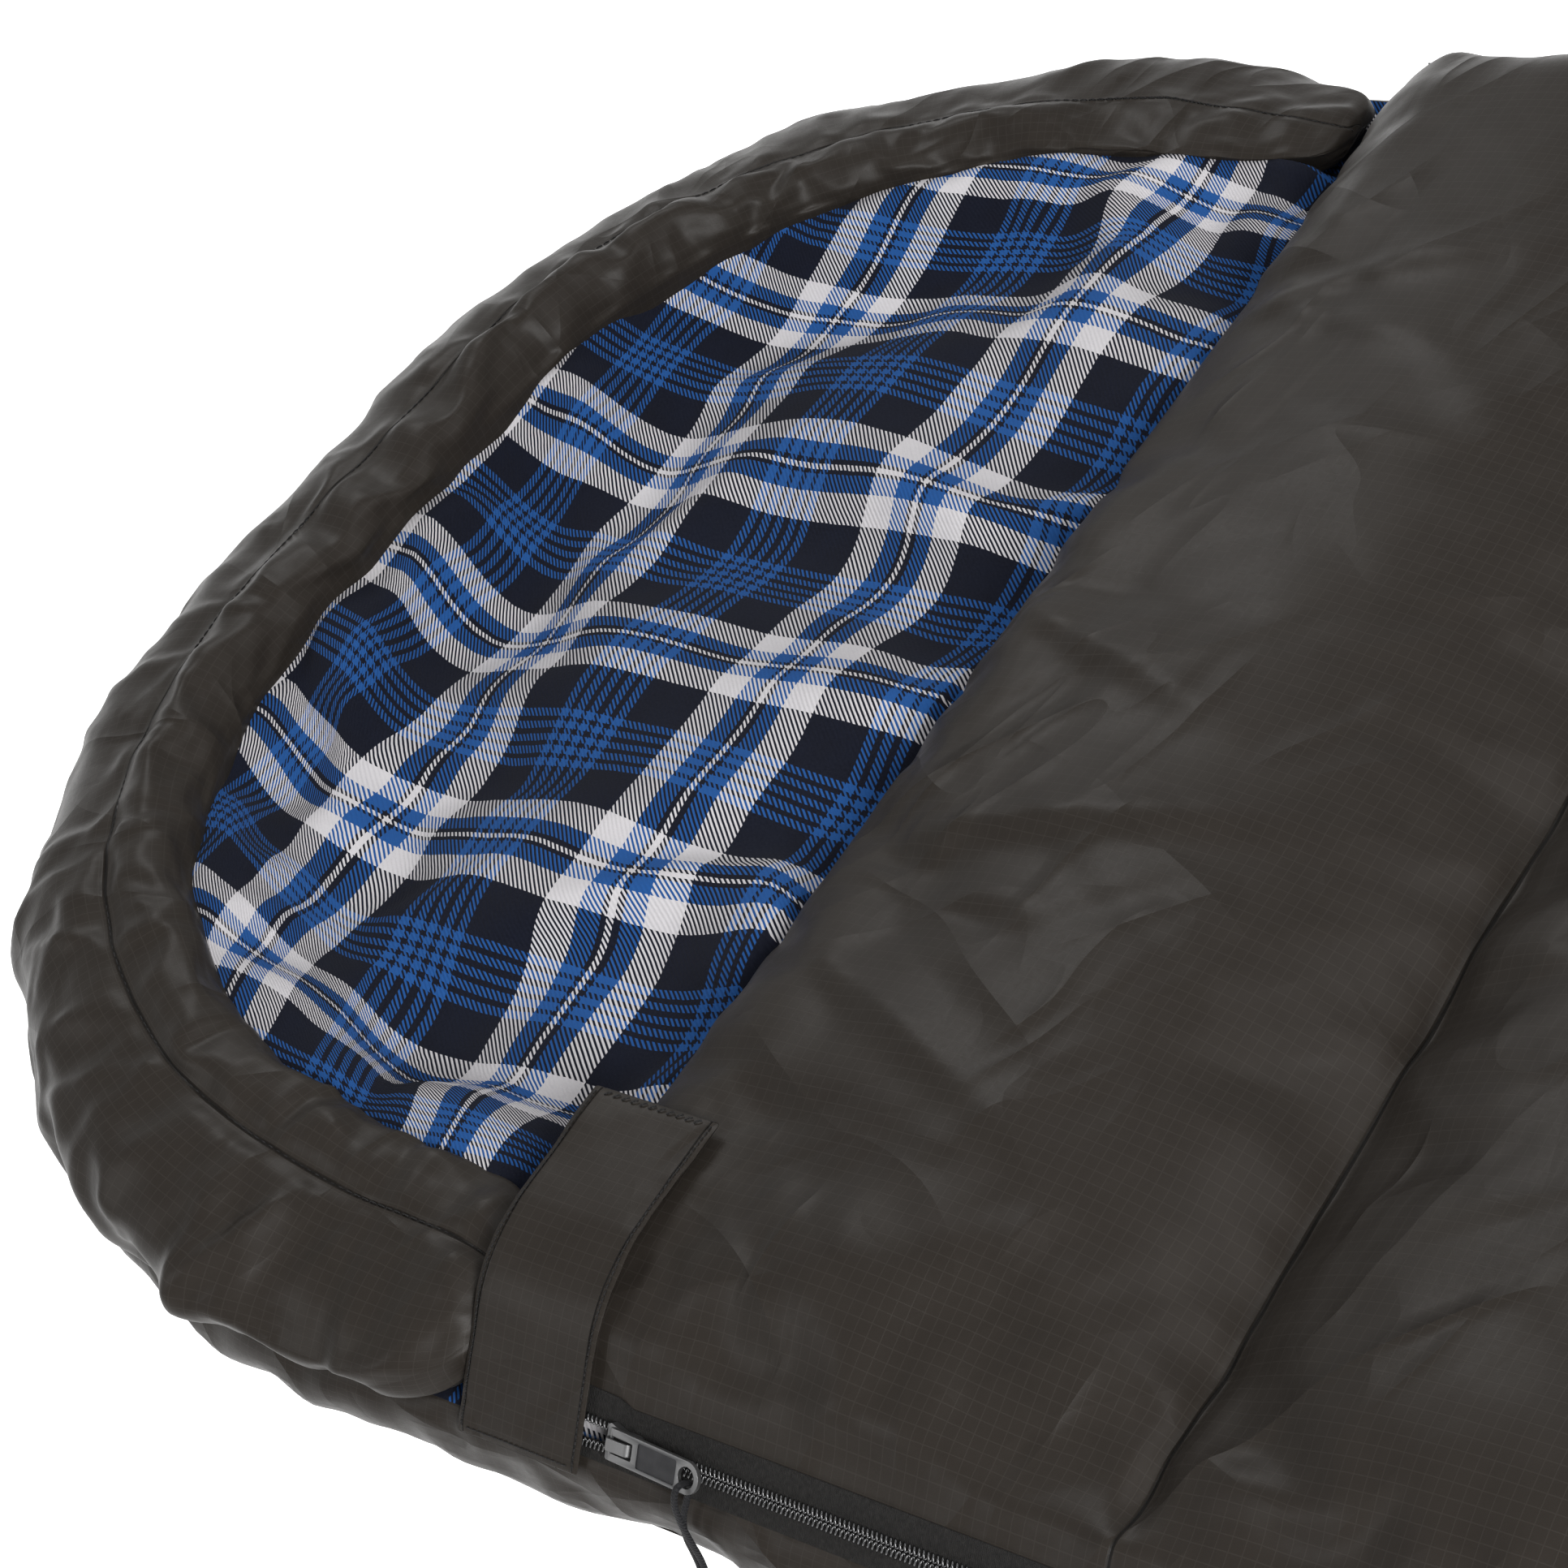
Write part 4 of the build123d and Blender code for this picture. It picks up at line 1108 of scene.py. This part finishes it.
def stitch_row(name, line, step, body, out=(0, 0, 1)):
    """A row of single stitches that lie on a sewn line."""
    points, ahead = resample(line, step)
    out = np.asarray(out, float)
    shape = np.array([-0.5, -0.42, -0.15, 0.15, 0.42, 0.5])
    height = np.array([-0.55, 0.1, 0.5, 0.5, 0.1, -0.55])
    length = step * 0.74
    paths = points[:, None] + ahead[:, None] * (shape * length)[None, :, None]
    paths = paths + out * (height * 0.5 * MM)[None, :, None]
    made = tubes(name, paths, 0.32 * MM, 5, THREAD)
    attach(made, body)
    return made


def closure_flap():
    """The tab of shell fabric that is sewn to the cover and turns down over the zip."""
    low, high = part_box("closure_flap")
    path = np.array(
        [(-400.1, 37.9), (-365.8, 72.2), (-362.3, 75.5), (-357.7, 79.1), (-353.4, 81.8),
         (-347.3, 84.7), (-340.2, 87.1), (-333.3, 88.9), (-325.2, 90.0), (-300, 90.2),
         (-270, 90.2)]
    ) * MM
    path3 = np.column_stack([np.zeros(len(path)), path])
    step = 2.5 * MM
    line, ahead = resample(path3, step)
    line, ahead = line[:, 1:], ahead[:, 1:]
    out = np.stack([-ahead[:, 1], ahead[:, 0]], axis=1)
    width = high.x - low.x
    hem = 3.2 * MM
    v = np.linspace(0, 1, 27)
    travel = np.arange(len(line)) * step
    T, V = np.meshgrid(travel, v, indexing="ij")
    total = travel[-1]
    bow = (noise(T / 0.05, V * 1.5, 61) * 0.9 + noise(T / 0.02, V * 3, 62) * 0.35) * MM
    edge = np.minimum(np.minimum(V, 1 - V) * width, np.minimum(T, total - T))
    seam = np.exp(-(((edge - hem) / (0.8 * MM)) ** 2)) * 0.55 * MM
    pinch = noise(T / 0.006, V * 8, 63) * np.exp(-edge / 0.006) * 0.35 * MM
    half = np.clip(edge / (1.2 * MM), 0, 1) ** 0.5 * 0.95 * MM
    X = low.x + width * V + noise(T / 0.035, V * 0 + 1, 64) * 0.7 * MM * (V - 0.5) * 2
    faces_out = []
    for sign in (1, -1):
        lift = bow * smooth(0, 20 * MM, total - T) + sign * half
        lift = lift + (pinch - seam) * (1 if sign > 0 else 0)
        y = line[:, None, 0] + out[:, None, 0] * lift
        z = line[:, None, 1] + out[:, None, 1] * lift
        faces_out.append(np.dstack([X, y, z]))
    uv = np.dstack([X, T])
    # the hem lines get thin stripes of painted shade in this material's colour
    hem_lines = (0, low.x + hem, width - 2 * hem)
    hemmed = shell_material("shell_satin_hemmed", "UV", hem_lines, 0.5 * MM)
    made = pad_mesh("closure_flap_cloth", faces_out[0], faces_out[1], [], uv, [hemmed] * 3)
    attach(made, "flap")
    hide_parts("closure_flap")
    soften(made)
    top = faces_out[0]
    stitch = 2.6 * MM
    inset = int(round(hem / (width / 26)))
    for name, row in (("low", inset), ("high", -1 - inset)):
        stitch_row(f"flap_stitches_{name}", top[1:-1, row], stitch, "flap", (0, -0.3, 0.95))
    stitch_row("flap_stitches_end", top[1, 2:-2], stitch, "flap", (0, -0.7, 0.7))
    tack = []
    for k in range(11):
        x = low.x + 8 * MM + k * (width - 16 * MM) / 10
        tack.append([(x - 1.3 * MM, high.y - 4 * MM, high.z + 0.1 * MM),
                     (x, high.y - 3 * MM, high.z + 0.55 * MM),
                     (x + 1.3 * MM, high.y - 2 * MM, high.z + 0.1 * MM)])
    bar = tubes("flap_bar_tack", tack, 0.38 * MM, 5, THREAD)
    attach(bar, "flap")


def side_fold():
    """The strip of shell along the fold side, where the two quilts are one cloth."""
    low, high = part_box("side_fold")
    step = 6 * MM
    radius = FAR_FOOT_RADIUS
    xs = np.arange(low.x, FOOT_X - radius, step)
    angle = np.arange(pi / 2, 0.12, -step / radius)
    corner = arc(FOOT_X - radius, FAR_Y - radius, radius, angle)
    route = np.concatenate([stretch(xs, FAR_Y, 0, 1), corner])
    place, out = route[:, :2], route[:, 2:]
    along = route_length(place)
    z = np.linspace(13 * MM, 62 * MM, 15)
    L, Z = np.meshgrid(along, z, indexing="ij")
    share = (Z - z[0]) / (z[-1] - z[0])
    bulge = np.sin(pi * share) ** 0.6 * 3.2 * MM - 3.0 * MM * smooth(0.86, 1.0, share)
    folds = (crease((L + Z * 0.7) / 0.05, Z / 0.06, 71) - 0.3) * 2.0 * MM
    reach = 0.4 * MM + bulge + folds * np.sin(pi * share)
    points = np.dstack(
        [place[:, None, axis] + out[:, None, axis] * reach for axis in (0, 1)] + [Z]
    )
    held = np.ones(L.shape)
    held[1:-1, 1:-1] = 0.0
    faces = grid_faces(*held.shape)[:, ::-1]
    outer = inflate(points, held, 1.0, 0.06, 4 * MM, 0.8, passes=1, faces=faces)
    inner = outer.copy()
    inner[..., :2] -= out[:, None] * 1.0 * MM
    made = pad_mesh("side_fold_cloth", inner, outer, [], np.dstack([L, Z]), [SHELL] * 3)
    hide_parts("side_fold")
    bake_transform(made)


# ------------------------------------------------------------------ zip and cord

COIL_FLOOR = 0.5 * MM
ZIP_START = MOUTH_X + 5 * MM
ZIP_END_Y = FAR_Y - 24 * MM
CORNER_X, CORNER_Y = FOOT_X - NEAR_FOOT_RADIUS, NEAR_Y + NEAR_FOOT_RADIUS


def chain_route(step):
    """Centre of the zip chain in plan, its outward direction and the half gap of its V."""
    route = np.concatenate([
        stretch(np.arange(ZIP_START, CORNER_X, step), CHAIN_Y, 0, -1),
        arc(CORNER_X, CORNER_Y, ZIP_CORNER, np.arange(-pi / 2, 0, step / ZIP_CORNER)),
        stretch(CHAIN_X, np.arange(CORNER_Y, ZIP_END_Y, step), 1, 0),
    ])
    marks = [ZIP_START, SLIDER_X - 7 * MM, SLIDER_X]
    spread = np.interp(route[:, 0], marks, [5 * MM, 2.4 * MM, 0])
    return route[:, :2], route[:, 2:], spread


def coil(name, side, body, replaced):
    """One row of nylon teeth: a flattened helix along its side of the chain."""
    pitch, per_turn = 2.0 * MM, 8
    step = pitch / per_turn
    centre, out, spread = chain_route(step)
    number = np.arange(len(centre))
    angle = 2 * pi * number / per_turn + (pi if side < 0 else 0)
    across = side * (spread + 1.72 * MM + 1.42 * MM * np.cos(angle))
    height = COIL_FLOOR + 1.05 * MM + 0.62 * MM * np.sin(angle)
    c, s = cos(ZIP_TILT), sin(ZIP_TILT)
    plan = -across * c + height * s
    points = np.empty((len(centre), 3))
    points[:, :2] = centre + out * plan[:, None]
    points[:, 2] = PARTING + across * s + height * c
    made = tubes(name, points[None], 0.46 * MM, 5, COIL)
    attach(made, body)
    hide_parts(replaced)


def pull_cords():
    """The doubled cord through the tab's hole; the knot that holds its ends is the imported one."""
    cord_x = SLIDER_X + 34.2 * MM
    front = [
        (0, -392.5, 52.9), (0, -396.0, 56.4), (0.6, -401.0, 52.0), (1.5, -403.0, 43.5),
        (2.0, -403.8, 33.0), (2.2, -404.0, 22.0), (1.9, -405.2, 13.0), (1.6, -408.6, 6.4),
        (1.4, -413.5, 4.0), (1.4, -421.5, 4.0),
    ]
    back = [
        (0, -392.5, 52.9), (0, -389.6, 50.0), (-0.8, -394.0, 45.6), (-1.5, -399.8, 40.0),
        (-1.9, -402.4, 31.5), (-1.9, -402.8, 22.0), (-1.7, -404.0, 13.0), (-1.5, -407.4, 6.6),
        (-1.4, -412.4, 4.0), (-1.4, -421.5, 4.0),
    ]
    for name, leg, length in (("front", front, 0.0705), ("back", back, 0.0666)):
        data = bpy.data.curves.new(f"pull_cord_{name}_braid", "CURVE")
        data.dimensions = "3D"
        data.bevel_depth = 1.25 * MM
        data.bevel_resolution = 4
        data.use_fill_caps = True
        spline = data.splines.new("NURBS")
        spline.points.add(len(leg) - 1)
        for point, (dx, y, z) in zip(spline.points, leg):
            point.co = (cord_x + dx * MM, y * MM, z * MM, 1)
        spline.order_u = 3
        spline.use_endpoint_u = True
        spline.resolution_u = 12
        data.materials.append(CORD)
        strand = add_object(data.name, data)
        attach(strand, "pull")
        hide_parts(f"pull_cord_{name}")


# ------------------------------------------------------------- camera and light


def make_camera():
    """A long lens, looking across the hood from the zip side towards the fold."""
    azimuth, elevation, roll = radians(51.487), radians(40.891), radians(25.719)
    forward = Vector(
        (-sin(azimuth) * cos(elevation), cos(azimuth) * cos(elevation), -sin(elevation))
    )
    data = bpy.data.cameras.new("camera")
    data.sensor_width = 36.0
    data.lens = 87.83
    data.clip_start = 0.05
    data.clip_end = 50.0
    camera = add_object("camera", data)
    camera.rotation_mode = "QUATERNION"
    level = forward.to_track_quat("-Z", "Y")
    camera.rotation_quaternion = level @ Quaternion((0, 0, 1), -roll)
    camera.location = Vector((MOUTH_X + 0.8808, CHAIN_Y - 0.4518, 1.0955))
    bpy.context.scene.camera = camera


def area_light(name, place, target, size, power):
    """A soft rectangular lamp aimed at a point."""
    data = bpy.data.lights.new(name, "AREA")
    data.shape = "SQUARE"
    data.size = size
    data.energy = power
    lamp = add_object(name, data)
    lamp.location = place
    lamp.rotation_mode = "QUATERNION"
    lamp.rotation_quaternion = (Vector(target) - Vector(place)).to_track_quat("-Z", "Y")


def make_studio():
    """White floor and world, a key light from the foot end and weaker ones round the bag."""
    floor = make_object(
        "studio_floor",
        [(-30, -30, 0), (30, -30, 0), (30, 30, 0), (-30, 30, 0)],
        [(0, 1, 2, 3)],
    )
    g = new_graph("studio_floor")
    glow = g.times(g.seen(), 0.80)
    matt = g.add("ShaderNodeBsdfDiffuse", Color=(0.9, 0.9, 0.9, 1))
    glow = g.add("ShaderNodeEmission", Color=(1, 1, 1, 1), Strength=glow)
    both = g.add("ShaderNodeAddShader", _0=matt.outputs[0], _1=glow.outputs[0])
    g.add("ShaderNodeOutputMaterial", _0=both.outputs[0])
    floor.data.materials.append(g.owner)
    world = bpy.data.worlds.new("studio_world")
    bpy.context.scene.world = world
    world.use_nodes = True
    sky = Graph(world)
    background = world.node_tree.nodes["Background"]
    background.inputs[0].default_value = (1, 1, 1, 1)
    sky.put(background.inputs[1], sky.math("ADD", 0.20, sky.times(sky.seen(), 0.80)))
    hood = (MOUTH_X, 0.0, 0.05)
    area_light("key", (MOUTH_X + 2.2, -1.45, 1.55), hood, 1.0, 118)
    area_light("back", (MOUTH_X - 1.2, 1.12, 1.8), hood, 0.8, 20)
    area_light("head", (MOUTH_X - 1.27, -1.8, 1.4), hood, 0.9, 14)
    area_light("foot", (0.8, 0.6, 2.4), (0.5, 0, 0), 1.8, 35)
    bpy.context.scene.view_settings.view_transform = "Standard"


make_camera()
make_studio()
finish_cad_nodes()
lower_quilt()
hood_rim()
top_quilt()
closure_flap()
side_fold()
coil("top_coil_teeth", 1, "top_quilt", "top_zip_coil")
coil("base_coil_teeth", -1, "base", "base_zip_coil")
pull_cords()
